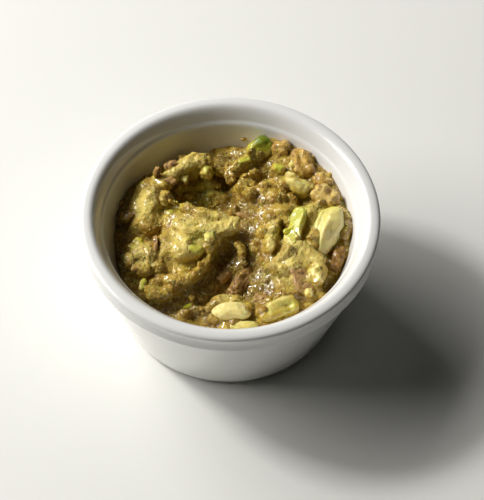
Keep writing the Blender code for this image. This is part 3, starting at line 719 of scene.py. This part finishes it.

# Patches where the mash is paler, browner or greener than the rest: middle and radius. The pale ones are partly
# paler mash and partly painted light on lit tops; the brown ones are partly brown mash and partly painted shade.
PALE_AND_LIT_SPOTS = [
    ((-5, 1, 35), 6), ((-14, 0, 34), 3.5), ((-25, 9, 34), 6), ((0, 1, 35.5), 3.5), ((-14, -7, 33), 5),
    ((24, -11, 33), 6), ((0, -24, 31), 3), ((-12, 24, 34), 5), ((-18, 20, 34), 4), ((-26, -8, 33), 4.5),
    ((24, 6, 35), 4.5), ((17, -13, 33), 5), ((13, 0, 35), 3.5), ((20, -6, 34), 3),
]
# Brown patches: partly brown mash, partly painted shade darkening the hollows, gaps and low places.
BROWN_AND_SHADE_SPOTS = [
    ((-27, -8, 30), 3), ((-31, 3, 29), 4), ((-30, 12, 29), 4), ((-3, 29, 31), 4), ((4, 29, 31), 3),
    ((32, 2, 34), 3), ((28, 16, 33), 5), ((10, -20, 30), 4), ((5, 9, 30), 4.5), ((-23, 14, 33), 2.5),
    ((-19, -22, 24), 5), ((-33, -8, 26), 4), ((0, 13, 26), 4.5), ((4, -15, 28), 6), ((-7, -25, 26), 6),
    ((5, 1, 30), 4), ((0, -8, 28), 4), ((-8, -18, 26), 5), ((6, -8, 30), 3), ((10, -14, 29), 4),
    ((10, 24, 33), 4), ((22, 15, 31), 3),
]
GREENISH = [
    ((-16, 8, 34), 2.6), ((-10, -3, 34), 3), ((-21, -20, 27), 3), ((6, 27, 34), 3), ((17, 20, 34), 2.6),
    ((10, -14, 32), 2.6), ((22, 8, 34), 3), ((-20, 24, 34), 2.2), ((-6, 21, 34), 2.4), ((-9, 19, 27), 6),
]


def heap_field():
    """The lie of the land, the lumps and folds joined to it, the hollows, unevenness, wrinkles and
    clods, and the wall's limit."""
    field = Field()
    field.land()
    for middle, sizes, *turn in LUMPS:
        field.lump(middle, sizes, *turn)
    for crest in FOLDS:
        field.fold(crest)
    for middle, sizes, *turn in HOLLOWS:
        field.lump(middle, sizes, *turn, softness=HOLLOW_SOFTNESS, carve=True)
    field.distance -= sum(height * field.noise(cell, seed) for height, cell, seed in UNEVEN)
    for wrinkle in WRINKLES:
        field.wrinkle(*wrinkle)
    scatter_clods(field)
    x, y, z = field.still
    wall = np.sqrt(x * x + y * y) - (inner_wall_radius(z) + WALL_OVERLAP)
    field.distance = np.maximum(field.distance, wall * WALL_COSINE)
    field.distance = np.maximum(field.distance, HEAP_FLOOR - z)
    return field


def scatter_clods(field):
    """Small flat clods half sunk in the mash, at grid points drawn from those nearest its surface,
    most of them where the mash is crumbly."""
    rng = np.random.default_rng(71)
    near = np.argwhere(np.abs(field.distance) < STEP * 0.6)
    near = near[field.axes[2][near[:, 2]] > HEAP_FLOOR + 2.5]
    chosen = near[rng.choice(len(near), CLODS, replace=False)]
    middles = np.stack([axis[index] for axis, index in zip(field.axes, chosen.T)], axis=1)
    wanted = rng.uniform(0.0, 1.0, CLODS) > pastiness(middles.astype(np.float64))
    for middle in middles[wanted]:
        size = rng.uniform(0.6, 1.4)
        sizes = size * np.array([rng.uniform(0.9, 1.5), rng.uniform(0.7, 1.0), rng.uniform(0.4, 0.7)])
        field.lump(middle, sizes, rng.uniform(0.0, 180.0), rng.uniform(-50.0, 50.0), CLOD_SOFTNESS)


def opened_below(points, quads):
    """Take away the flat underside: the faces whose corners all lie on the grid's floor, and the
    corners left without a face. Gives which corners are used, the faces left, and the corners round
    the opening in order of angle."""
    low = points[:, 2] < HEAP_FLOOR + 0.25 * STEP
    kept = quads[~low[quads].all(axis=1)]
    ring = np.unique(kept[low[kept]])
    ring = ring[np.argsort(np.arctan2(points[ring, 1], points[ring, 0]))]
    used, quads = np.unique(kept, return_inverse=True)
    return used, quads.reshape(-1, 4), np.searchsorted(used, ring)


def closed_below(points, quads, ring):
    """Carry the opening's ring down inside the wall to the pot's floor, row by row, and close it
    with one point: the dip fills the pot."""
    heights = np.array([18.0, 14.0, 10.5, 8.0, 6.4, 5.3])
    floor_rounding = np.array([0.0, 0.0, 0.4, 1.2, 2.8, 5.4])
    radius = inner_wall_radius(heights) + 0.2 - floor_rounding
    angle = np.arctan2(points[ring, 1], points[ring, 0])
    rows = np.stack([radius[:, None] * np.cos(angle), radius[:, None] * np.sin(angle),
                     heights[:, None] * np.ones_like(angle)], axis=-1)
    columns = len(ring)
    below = len(points) + np.arange(len(heights) * columns).reshape(-1, columns)
    upper = np.concatenate([ring[None], below[:-1]])
    sides = np.stack([upper, below, np.roll(below, -1, axis=1), np.roll(upper, -1, axis=1)], -1)
    last = below[-1]
    bottom = len(points) + below.size
    cap = np.stack([np.roll(last, -1), last, np.full(columns, bottom)], -1)
    points = np.concatenate([points, rows.reshape(-1, 3), [[0.0, 0.0, heights[-1]]]])
    return points, np.concatenate([quads, sides.reshape(-1, 4)]), cap


def make_heap():
    """The mash: the field's zero level as a mesh, then each corner moved out along its normal by
    rounded grains, height = 1 - (distance to the nearest grain)^2, except close to the wall. Gives
    the corners above the flat underside taken away at HEAP_FLOOR, and their outward directions."""
    field = heap_field()
    level = openvdb.FloatGrid(FAR)
    level.copyFromArray(np.ascontiguousarray(field.distance, dtype=np.float32))
    corners, quads = level.convertToQuads(0.0)
    points = corners.astype(np.float64) * STEP + np.array([axis[0] for axis in field.axes])
    quads = quads.astype(np.int64)
    outward = outward_at(points, quads)
    middle_height = 28.0
    if (outward[:, 2] * (points[:, 2] - middle_height)).sum() < 0.0:
        quads = quads[:, ::-1]
        outward = -outward
    used, quads, ring = opened_below(points, quads)
    points, outward = points[used], outward[used]
    from_wall = inner_wall_radius(points[:, 2]) + 0.1 - np.hypot(points[:, 0], points[:, 1])
    free = np.clip(from_wall / 0.8, 0.0, 1.0) * np.clip(points[:, 2] - HEAP_FLOOR - 1.0, 0.0, 1.0)
    rise = 0.0
    for height, cell, seed in GRAINS:
        away, number = grains(points, cell, seed)
        rise = rise + height * np.clip(1.0 - away**2, 0.0, 1.0) * number
    points += outward * ((rise - GRAIN_BED) * (1.0 - PASTE_CALM * pastiness(points)) * free)[:, None]
    top = points
    points, quads, cap = closed_below(points, quads, ring)
    # The brown mask is partly brown mash and partly painted shade in the hollows and low places.
    browned = soft_spots(points, BROWN_AND_SHADE_SPOTS) + 0.25 * smooth_noise(points, 3.0, 83)
    # The pale mask is partly paler mash and partly painted light on lit tops.
    masks = dict(paste=pastiness(points), pale=soft_spots(points, PALE_AND_LIT_SPOTS), brown=np.clip(browned, 0.0, 1.0),
                 green=soft_spots(points, GREENISH))
    add_piece("mash_heap", (points, quads, cap), "avocado_mash", "guacamole", masks)
    return top, outward


def soft_spots(points, spots):
    """Sum of bell curves, exp(-(distance / radius)^2), one for each (middle, radius), up to 1."""
    total = np.zeros(len(points))
    for middle, radius in spots:
        away = np.linalg.norm(points - np.array(middle), axis=1) / radius
        total += np.exp(-(away**2))
    return np.clip(total, 0.0, 1.0)


def pastiness(points):
    """Share from 0, grainy, to 1, smooth paste."""
    return np.clip(soft_spots(points, PASTY) + 0.35 * smooth_noise(points, 4.0, 81), 0.0, 1.0)


# ---- pieces in the mash
def stance(name):
    """Where a CAD piece lies: its middle, its three directions from longest to shortest, as rows,
    and its half sizes along them."""
    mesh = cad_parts[name].data
    points = np.empty(len(mesh.vertices) * 3)
    mesh.vertices.foreach_get("co", points)
    points = points.reshape(-1, 3) / MM
    middle = points.mean(axis=0)
    axes = np.linalg.svd(points - middle, full_matrices=False)[2]
    axes[0] *= np.sign(axes[0][np.abs(axes[0]).argmax()])
    axes[2] *= np.sign(axes[2][2])
    axes[1] = np.cross(axes[2], axes[0])
    spans = (points - middle) @ axes.T
    low, high = spans.min(axis=0), spans.max(axis=0)
    return middle + (high + low) / 2.0 @ axes, axes, (high - low) / 2.0


def lying(middle, toward, half, roll):
    """Middle, directions and half sizes for a piece with no CAD node: its length runs along a
    direction, and its top faces as nearly up as that lets it, rolled by an angle in degrees."""
    along = unit(np.array(toward, dtype=float))
    across = unit(np.cross(UP, along))
    turn = math.radians(roll)
    side = across * math.cos(turn) + np.cross(along, across) * math.sin(turn)
    return np.array(middle), np.stack([along, side, np.cross(along, side)]), np.array(half)


def signed_power(value, power):
    """The value's size raised to a power, with its sign kept."""
    return np.sign(value) * np.abs(value) ** power


def morsel_shape(middle, axes, half, seed, square=0.8, sides=None, bow=0.0, cuts=(), relief=(), rough=0.3,
                 cell=2.2, fine=1.0):
    """Points of a rounded morsel and their places in its own directions, from -1 to 1. From end to
    end t and round the girth s: along = sin(t)^square, across and through = cos(t)^square times
    cos(s)^square and sin(s)^square. The sides are (along, right width, left width, thickness) and
    the girth follows them; the middle bows aside by 1 - along^2; each cut (direction, depth) presses
    what stands beyond it flat; each relief (along, across, length, width, height) is a bell curve
    on the top; and noise pushes the skin in and out."""
    rows, columns = int(36 * fine), int(52 * fine)
    t = np.linspace(-math.pi / 2.0, math.pi / 2.0, rows + 2)[1:-1, None]
    s = np.linspace(0.0, math.tau, columns, endpoint=False)[None, :]
    along = signed_power(np.sin(t), square) * np.ones_like(s)
    girth = signed_power(np.cos(t), square)
    across = girth * signed_power(np.cos(s), square)
    through = girth * signed_power(np.sin(s), square)
    own = np.stack([along, across, through], axis=-1).reshape(-1, 3)
    own = np.concatenate([own, [[-1.0, 0.0, 0.0], [1.0, 0.0, 0.0]]])
    shape = own.copy()
    if sides is not None:
        where, right, left, thick = np.array(sides).T
        right, left = [np.interp(own[:, 0], where, width) for width in (right, left)]
        shape[:, 1] *= np.where(own[:, 1] > 0.0, right, left)
        shape[:, 2] *= np.interp(own[:, 0], where, thick)
    shape[:, 1] += bow * (1.0 - own[:, 0] ** 2)
    for direction, depth in cuts:
        direction = unit(np.array(direction))
        beyond = np.maximum(shape @ direction - depth, 0.0)
        shape -= beyond[:, None] * 0.92 * direction
    for place_along, place_across, length, width, height in relief:
        bell = np.exp(-((own[:, 0] - place_along) / length) ** 2 - ((own[:, 1] - place_across) / width) ** 2)
        shape[:, 2] += height * bell * np.clip(own[:, 2] * 3.0, 0.0, 1.0)
    points = middle + (shape * half) @ axes
    outward = unit((own / half) @ axes)
    push = rough * (smooth_noise(points, cell, seed) + 0.5 * smooth_noise(points, cell * 0.45, seed + 1))
    points = points + outward * push[:, None]
    quads, caps = ring_faces(rows, columns)
    a, b, c = [points[quads[:, side]] for side in range(3)]
    away = (a + c) / 2.0 - points.mean(axis=0)
    if (np.cross(b - a, c - a) * away).sum() < 0.0:
        quads, caps = quads[:, ::-1], caps[:, ::-1]
    return own, (points, quads, caps)


def make_morsel(name, slot, seed, grow=(1.0, 1.0, 1.0), shift=(0.0, 0.0, 0.0), at=None, smear=0.35, paste=0.5,
                green=None, deep=None, pale=None, **shape):
    """One piece of avocado or browned vegetable. It lies where its CAD node lies, or at the given
    middle, directions and half sizes. Each colour mask is (direction in the piece, where it starts,
    where it is full, how strong); the smear of mash is thickest low down and in patches."""
    middle, axes, half = stance(name) if at is None else at
    half = half * np.array(grow)
    middle = middle + np.array(shift)
    own, faces = morsel_shape(middle, axes, half, seed, **shape)
    points = faces[0]
    wander = 0.35 * smooth_noise(points, 2.0, seed + 5)
    masks = {}
    for mask, rule in (("green", green), ("deep", deep), ("pale", pale)):
        direction, start, full, top = rule or (UP, 0.0, 1.0, 0.0)
        masks[mask] = top * np.clip((own @ np.array(direction) + wander - start) / (full - start), 0.0, 1.0)
    low = (points[:, 2] - middle[2]) / max(half[2], 0.5)
    patch = 0.5 + 0.9 * smooth_noise(points, 1.6, seed + 6) - 0.7 * low
    masks["smear"] = np.clip(patch + 2.0 * (smear - 0.5), 0.0, 1.0)
    masks["paste"] = paste * (1.0 - masks["smear"])
    if at is None:
        add_piece("wet_" + name, faces, slot, name, masks)
    else:
        add_piece(name, faces, slot, masks=masks)


FLESH, BROWN, TAN = "avocado_flesh", "browned_vegetable", "tan_vegetable"

# Pieces that lie where the CAD has them: finish, seed, then what differs from a plain morsel.
PIECES = {
    "avocado_green_end": (FLESH, 101, dict(
        grow=(1.3, 1.35, 1.35), shift=(0, 0, 0.2), square=0.85, rough=0.4, smear=0.3,
        cuts=(((-0.3, -0.6, 0.5), 0.55),), green=((0.3, 0.2, 0.9), -0.9, 0.3, 1),
        deep=((0.9, 0.3, 0.5), 0.1, 0.9, 1))),
    "avocado_half_moon": (FLESH, 111, dict(
        grow=(1.1, 1.12, 1), square=0.72, rough=0.28, smear=0.12,
        sides=((-1, 0.7, 0.5, 1), (-0.4, 0.9, 0.7, 1), (0.2, 1.05, 1, 1), (0.7, 1, 0.9, 0.9),
               (1, 0.5, 0.9, 0.8)),
        relief=((-0.25, -0.25, 0.75, 0.32, 0.45), (0.3, 0.35, 0.5, 0.2, -0.3)),
        # its pale mask is partly paler flesh and partly painted light on the side towards the lamp
        green=((0.6, 0.5, 0.2), -0.5, 1, 0.55), pale=((-0.8, -0.4, 0.4), -1.2, 0.6, 0.8))),
    "avocado_stick": (FLESH, 121, dict(
        grow=(1.1, 1, 1), square=0.62, rough=0.32, bow=0.1, smear=0.22, paste=0.3,
        sides=((-1, 1.1, 1.2, 1), (-0.4, 1.1, 1, 1), (0, 0.8, 0.9, 0.85), (0.6, 1.1, 1, 1),
               (1, 1, 1, 1)),
        cuts=(((0.1, 0.5, 0.8), 0.55), ((-0.5, 0.3, 0.8), 0.6)), green=((0.5, 0.3, 0.3), -1.2, 0.4, 0.8))),
    "avocado_bean": (FLESH, 131, dict(
        grow=(1, 1.15, 1), shift=(0, -1.2, -0.5), square=0.85, rough=0.3, bow=0.2, smear=0.32,
        # its pale mask is partly paler flesh and partly painted light on its top
        relief=((0, 0.1, 0.6, 0.25, -0.15),), pale=(UP, -0.8, 0.4, 0.7))),
    "avocado_front_bit": (FLESH, 141, dict(
        grow=(1.4, 1.3, 1.2), square=0.85, rough=0.4, smear=0.12, paste=0.8)),
    "avocado_slab": (FLESH, 151, dict(
        grow=(1, 1.2, 1.2), shift=(0, -0.8, -0.5), square=0.55, rough=0.6, bow=0.12, smear=0.8, paste=0,
        relief=((0.3, -0.15, 0.6, 0.14, -0.4), (0.2, 0.5, 0.8, 0.3, 0.3)),
        green=((0.6, -0.6, 0.3), -0.6, 1, 0.6))),
    "avocado_fold_green": (FLESH, 161, dict(
        grow=(1, 1.75, 1), shift=(1, -0.4, -0.1), square=0.6, rough=0.35, smear=0.45,
        cuts=(((0, 0.3, 0.9), 0.7),), green=(UP, -1.2, 0.2, 0.7))),
    "avocado_wedge": (FLESH, 171, dict(
        grow=(1.1, 1, 1.2), square=0.66, rough=0.7, cell=1.7, bow=-0.2, smear=0.68, paste=0.1,
        sides=((-1, 1, 1, 0.8), (0, 0.6, 1, 1), (1, 1, 1, 0.8)),
        relief=((0.1, 0.3, 0.5, 0.3, -0.35),), green=((0.2, 0.5, 0.3), 0, 1.4, 0.5))),
    "brown_flake_front": (BROWN, 181, dict(
        grow=(1.05, 1.1, 1.1), square=0.55, rough=0.4, cell=1.6, smear=0.2,
        cuts=(((0, -0.4, 0.8), 0.6),), pale=((0.5, 0, 0.5), -1.2, 0.1, 1))),
    "brown_chunk_hollow": (BROWN, 191, dict(
        grow=(1.25, 1.3, 1.3), shift=(-0.4, -0.6, -1.4), square=0.55, rough=0.6, cell=1.5, smear=0.3,
        cuts=(((0.2, 0.7, 0.6), 0.5), ((0.3, -0.7, 0.6), 0.6)), pale=((0.3, -0.8, 0.3), 0, 1.2, 0.5))),
    "brown_flake_wall": (BROWN, 201, dict(grow=(1.3, 1.5, 1.3), square=0.6, rough=0.5, cell=1.2, smear=0.15)),
    "brown_nugget_back": (TAN, 211, dict(
        grow=(1.15, 1.15, 1.15), square=0.7, rough=0.6, cell=1.8, smear=0.5,
        pale=((0.3, 0.3, 0.8), 0.2, 1.2, 0.7))),
    "brown_nugget_wall": (TAN, 221, dict(
        grow=(1.2, 1.3, 1.2), square=0.7, rough=0.6, smear=0.5, relief=((0, 0.1, 0.9, 0.25, -0.4),))),
    "tan_nugget_wall": (TAN, 231, dict(
        grow=(1.4, 1.3, 1.3), square=0.75, rough=0.55, cell=1.7, smear=0.45, pale=(UP, 0, 1.2, 1))),
    "tan_nugget_right": (TAN, 241, dict(
        grow=(1.15, 1.2, 1.2), square=0.75, rough=0.6, cell=1.9, smear=0.4,
        relief=((0.2, 0.2, 0.25, 0.7, -0.4),), pale=(UP, -0.2, 1, 1))),
}

# Smaller pieces with no solid of their own, set on the mash: finish, place, lift above it,
# direction, half sizes, roll, tint and smear. A tint is where it starts, where it is full and how
# strong it is, from the bottom up unless it names a direction.
BITS = {
    "avocado_hanging_tip": (FLESH, (-6, -3.5), 0, (0.15, 1, 0.1), (2.3, 1.7, 1.1), -10, (-1, 0.8, 0.35), 0.6),
    "avocado_knob_fold": (FLESH, (-17.5, 7.5), -0.2, (1, 0.5, 0), (2.4, 1.9, 1.4), 0, (-1, 0.8, 0.6), 0.8),
    "avocado_bit_left": (FLESH, (-28, -3), 0.1, (1, 0.5, 0.1), (2.4, 1.6, 1), 15, (-1, 0.6, 0.9), 0.65),
    "avocado_sliver_back": (FLESH, (3, 25.5), 0.1, (1, 0.35, 0.1), (2.8, 0.8, 0.7), 10, (-1, 0.6, 0.8), 0.55),
    "avocado_bit_low": (FLESH, (-12, -22), 0.1, (1, 0.2, 0), (1.3, 0.9, 0.6), 0, (-1, 0.6, 1), 0.4),
    "avocado_knob_back": (FLESH, (14.5, 23), -0.2, (1, -0.3, 0), (2.1, 1.5, 1.2), 0, (-0.4, 0.8, 0.8), 0.7),
    "avocado_flap": (FLESH, (18.5, 0), 1.4, (0.85, 0.5, 0.1), (2.6, 0.9, 0.7), 20, (-1, 0.4, 1), 0.1),
    "avocado_facet": (FLESH, (19, -3.5), 0, (0.5, 0.9, 0), (2.4, 2.1, 1), -15, (-0.4, 1.4, 0.6), 0.4),
    "avocado_finger": (FLESH, (12.5, -5), 0, (0.1, 1, 0), (2.9, 1.3, 1.3), 0, (), 0.65),
    "avocado_knob_ridge": (FLESH, (-7.5, 21.5), -0.2, (0.4, 1, 0), (2.2, 1.9, 1.4), 0, (-0.6, 0.8, 0.6), 0.75),
    "avocado_edge_low": (FLESH, (-25.5, -17.5), 0.1, (0.3, 1, 0), (2.2, 1, 0.9), 20, (-0.6, 0.8, 0.7), 0.6),
    "avocado_pale_knob": (FLESH, (-14, 19.5), 0.2, (0.3, 1, 0), (1.6, 1.3, 1.1), 0, (), 0.6),
    "avocado_pale_bit": (FLESH, (18.5, 24.5), 0.2, (0.2, 1, 0), (1.3, 0.9, 0.7), 0, (), 0.45),
    "avocado_yellow_bit": (FLESH, (24, -21), 0.1, (0.3, 1, 0), (1.6, 1.2, 1), 0, (), 0.6),
    "avocado_face_right": (FLESH, (26, -15.5), 0, (-0.15, 1, 0.1), (3.5, 1.8, 1.2), -20, (), 0.7),
    "brown_bit_hollow": (BROWN, (-1.5, -11.5), 0.2, (0.3, 1, 0.2), (2.6, 1.9, 1.1), 15, (-0.8, 0.6, 0.9), 0.45),
    "brown_crumb_standing": (BROWN, (-22.5, 19), 1.7, (0.25, 0.1, 1), (2.1, 1, 0.8), 0,
                             (-0.2, 0.2, 1, (0, 1, 0)), 0),
    "brown_flake_left": (BROWN, (-18.5, 22.5), 0.8, (0.9, 0.4, 0.5), (2.3, 1.3, 0.6), 30, (-0.8, 0.6, 0.8), 0.2),
    "brown_fin": (BROWN, (-22, -5), 0.7, (0.1, 1, 0.3), (3.2, 0.7, 1.2), 10, (-0.2, 1.2, 0.8), 0.3),
    "brown_lump_left": (BROWN, (-31, 7), -0.2, (1, 0.8, 0), (2.4, 1.8, 0.7), 0, (-0.8, 1.2, 0.6), 0.75),
    "brown_patch_middle": (BROWN, (4, 9.5), -0.1, (1, -0.2, 0), (2.6, 1.4, 0.5), 0, (-0.8, 0.8, 0.9), 0.6),
    "brown_patch_front": (BROWN, (10, -21), -0.1, (1, 0.4, 0), (2.4, 1.8, 0.6), 0, (-0.8, 0.8, 0.7), 0.6),
    "brown_crumb_wall_left": (TAN, (-33, 12.5), 0.3, (0.3, 1, 0.2), (1.1, 0.8, 0.7), 0, (), 0.3),
    "tan_crumb_wall_back": (TAN, (3.5, 36), 3.4, (1, 0.1, 0.1), (0.9, 0.5, 0.5), 0, (), 0.2),
    "brown_lump_crevice": (BROWN, (-18.5, 17), -0.1, (1, -0.4, 0), (2.6, 1.1, 0.7), 0, (-0.8, 0.8, 0.7), 0.5),
}

# Loose crumbs: finish, number, smallest and largest radius, seed, and masks.
CRUMBS = {
    "brown_flecks": (BROWN, 380, (0.12, 0.32), 901, {}),
    # pale flecks: partly pale bits of the mash, partly painted glints standing in for the wet sparkle
    "pale_and_glint_flecks": (FLESH, 1700, (0.14, 0.32), 902, dict(smear=0.25)),
    "green_flecks": (FLESH, 45, (0.2, 0.5), 903, dict(green=1.0)),
}


def make_pieces():
    """Every piece that the CAD places in the mash."""
    for name, (slot, seed, finish) in PIECES.items():
        make_morsel(name, slot, seed, **finish)


def settled(top, x, y):
    """Height of the mash's top at (x, y): that of its highest point within half a millimetre."""
    away = np.hypot(top[:, 0] - x, top[:, 1] - y)
    return top[away < max(0.5, away.min() + 0.1), 2].max()


def make_bits(top):
    """The smaller pieces, each settled into the mash's top. A level piece with no lift has about two
    thirds of its thickness buried."""
    for seed, (name, row) in enumerate(BITS.items()):
        slot, (x, y), lift, toward, half, roll, tint, smear = row
        height = settled(top, x, y) + lift - BIT_SINK * half[2]
        masks = {}
        if tint:
            direction = tint[3] if len(tint) > 3 else UP
            masks["green" if slot == FLESH else "pale"] = (direction, *tint[:3])
        make_morsel(name, slot, 300 + 10 * seed, at=lying((x, y, height), toward, half, roll), square=0.75,
                    rough=0.12 * sum(half), cell=1.5, fine=0.6, smear=smear, **masks)


def make_crumbs(top, outward):
    """Many small crumbs in one piece for each finish, half sunk at points drawn from the mash's
    top. Each is a grid of three rings of six points between two poles, its radius changed at every
    point, turned so that it lies flat on the surface."""
    t = np.radians([-50.0, 0.0, 50.0])[:, None]
    s = np.linspace(0.0, math.tau, 6, endpoint=False)[None, :]
    ball = np.stack([np.cos(t) * np.cos(s), np.cos(t) * np.sin(s), np.sin(t) * np.ones_like(s)], -1)
    ball = np.concatenate([ball.reshape(-1, 3), [[0.0, 0.0, -1.0], UP]])
    quads, caps = ring_faces(3, 6)
    open_top = np.flatnonzero((top[:, 2] > CRUMBS_ABOVE) & (outward[:, 2] > 0.1))
    for name, (slot, count, sizes, seed, strengths) in CRUMBS.items():
        rng = np.random.default_rng(seed)
        chosen = open_top[rng.choice(len(open_top), count, replace=False)]
        up = outward[chosen]
        side = unit(np.cross(up, rng.normal(size=(count, 3))))
        turned = np.stack([side, np.cross(up, side), up], axis=1)
        size = rng.uniform(*sizes, count)[:, None]
        long, wide = rng.uniform(0.8, 1.5, count), rng.uniform(0.7, 1.0, count)
        radii = size * np.stack([long, wide, np.full(count, 0.6)], axis=1)
        local = ball * radii[:, None] * rng.uniform(0.8, 1.2, (count, len(ball), 1))
        offsets = sum(local[..., axis, None] * turned[:, None, axis] for axis in range(3))
        points = (top[chosen][:, None] + offsets).reshape(-1, 3)
        start = np.arange(count)[:, None, None] * len(ball)
        masks = {mask: np.full(len(points), strengths.get(mask, 0.0))
                 for mask in ("green", "deep", "pale", "smear", "paste")}
        add_piece(name, (points, quads + start, caps + start), slot, masks=masks)


# ---- stage
def make_floor():
    """A wide pale floor under the pot."""
    size = 900.0
    corners = [[-size, -size, 0.0], [size, -size, 0.0], [size, size, 0.0], [-size, size, 0.0]]
    floor = mesh_object("floor", corners, [[0, 1, 2, 3]])
    finish, _, _ = finish_material("pale_floor", Base_Color=(0.86, 0.86, 0.82, 1.0), Roughness=0.8)
    floor.data.materials.append(finish)


def upward(azimuth, elevation):
    """Unit direction at an azimuth from +X and a height above the floor, in degrees."""
    azimuth, elevation = math.radians(azimuth), math.radians(elevation)
    return Vector((math.cos(azimuth) * math.cos(elevation), math.sin(azimuth) * math.cos(elevation),
                   math.sin(elevation)))


def add_lamp(name, elevation, width, height, energy):
    """A rectangular lamp, sizes in metres, that faces the pot from an elevation in degrees."""
    lamp = bpy.data.lights.new(name, "AREA")
    lamp.shape = "RECTANGLE"
    lamp.size = width
    lamp.size_y = height
    lamp.energy = energy
    lamp.color = (1.0, 0.985, 0.96)
    holder = bpy.data.objects.new(name, lamp)
    direction = upward(LAMP_AZIMUTH, elevation)
    holder.location = direction * LAMP_DISTANCE
    holder.rotation_euler = direction.to_track_quat("Z", "Y").to_euler()
    bpy.context.scene.collection.objects.link(holder)


def make_light():
    """One large soft lamp high at the left and a little behind, a small one in front of its middle
    that gives the wet mash its sparks, and a dim room."""
    add_lamp("soft_lamp", LAMP_ELEVATION, 1.5, 0.6, 16.0)
    add_lamp("spark_lamp", LAMP_ELEVATION + 1.0, 0.22, 0.14, 9.0)
    world = bpy.data.worlds.new("room")
    world.use_nodes = True
    world.node_tree.nodes["Background"].inputs["Color"].default_value = (1.0, 1.0, 1.0, 1.0)
    world.node_tree.nodes["Background"].inputs["Strength"].default_value = ROOM_LIGHT
    bpy.context.scene.world = world


def make_camera():
    """Camera looking down at the front of the heap from about a metre, turned a little."""
    lens = bpy.data.cameras.new("camera")
    lens.lens = LENS
    lens.sensor_width = SENSOR
    lens.clip_end = 10.0
    camera = bpy.data.objects.new("camera", lens)
    elevation = math.radians(VIEW_ELEVATION)
    back = Vector((0.0, -math.cos(elevation), math.sin(elevation)))
    camera.location = Vector(VIEW_TARGET) * MM + back * VIEW_DISTANCE
    camera.rotation_mode = "QUATERNION"
    roll = Quaternion(UP, math.radians(VIEW_ROLL))
    camera.rotation_quaternion = (-back).to_track_quat("-Z", "Y") @ roll
    bpy.context.scene.collection.objects.link(camera)
    bpy.context.scene.camera = camera


make_camera()
make_light()
make_floor()
make_food_materials()
make_pot()
mash_top, mash_outward = make_heap()
make_pieces()
make_bits(mash_top)
make_crumbs(mash_top, mash_outward)
bpy.context.scene.view_settings.view_transform = "Standard"
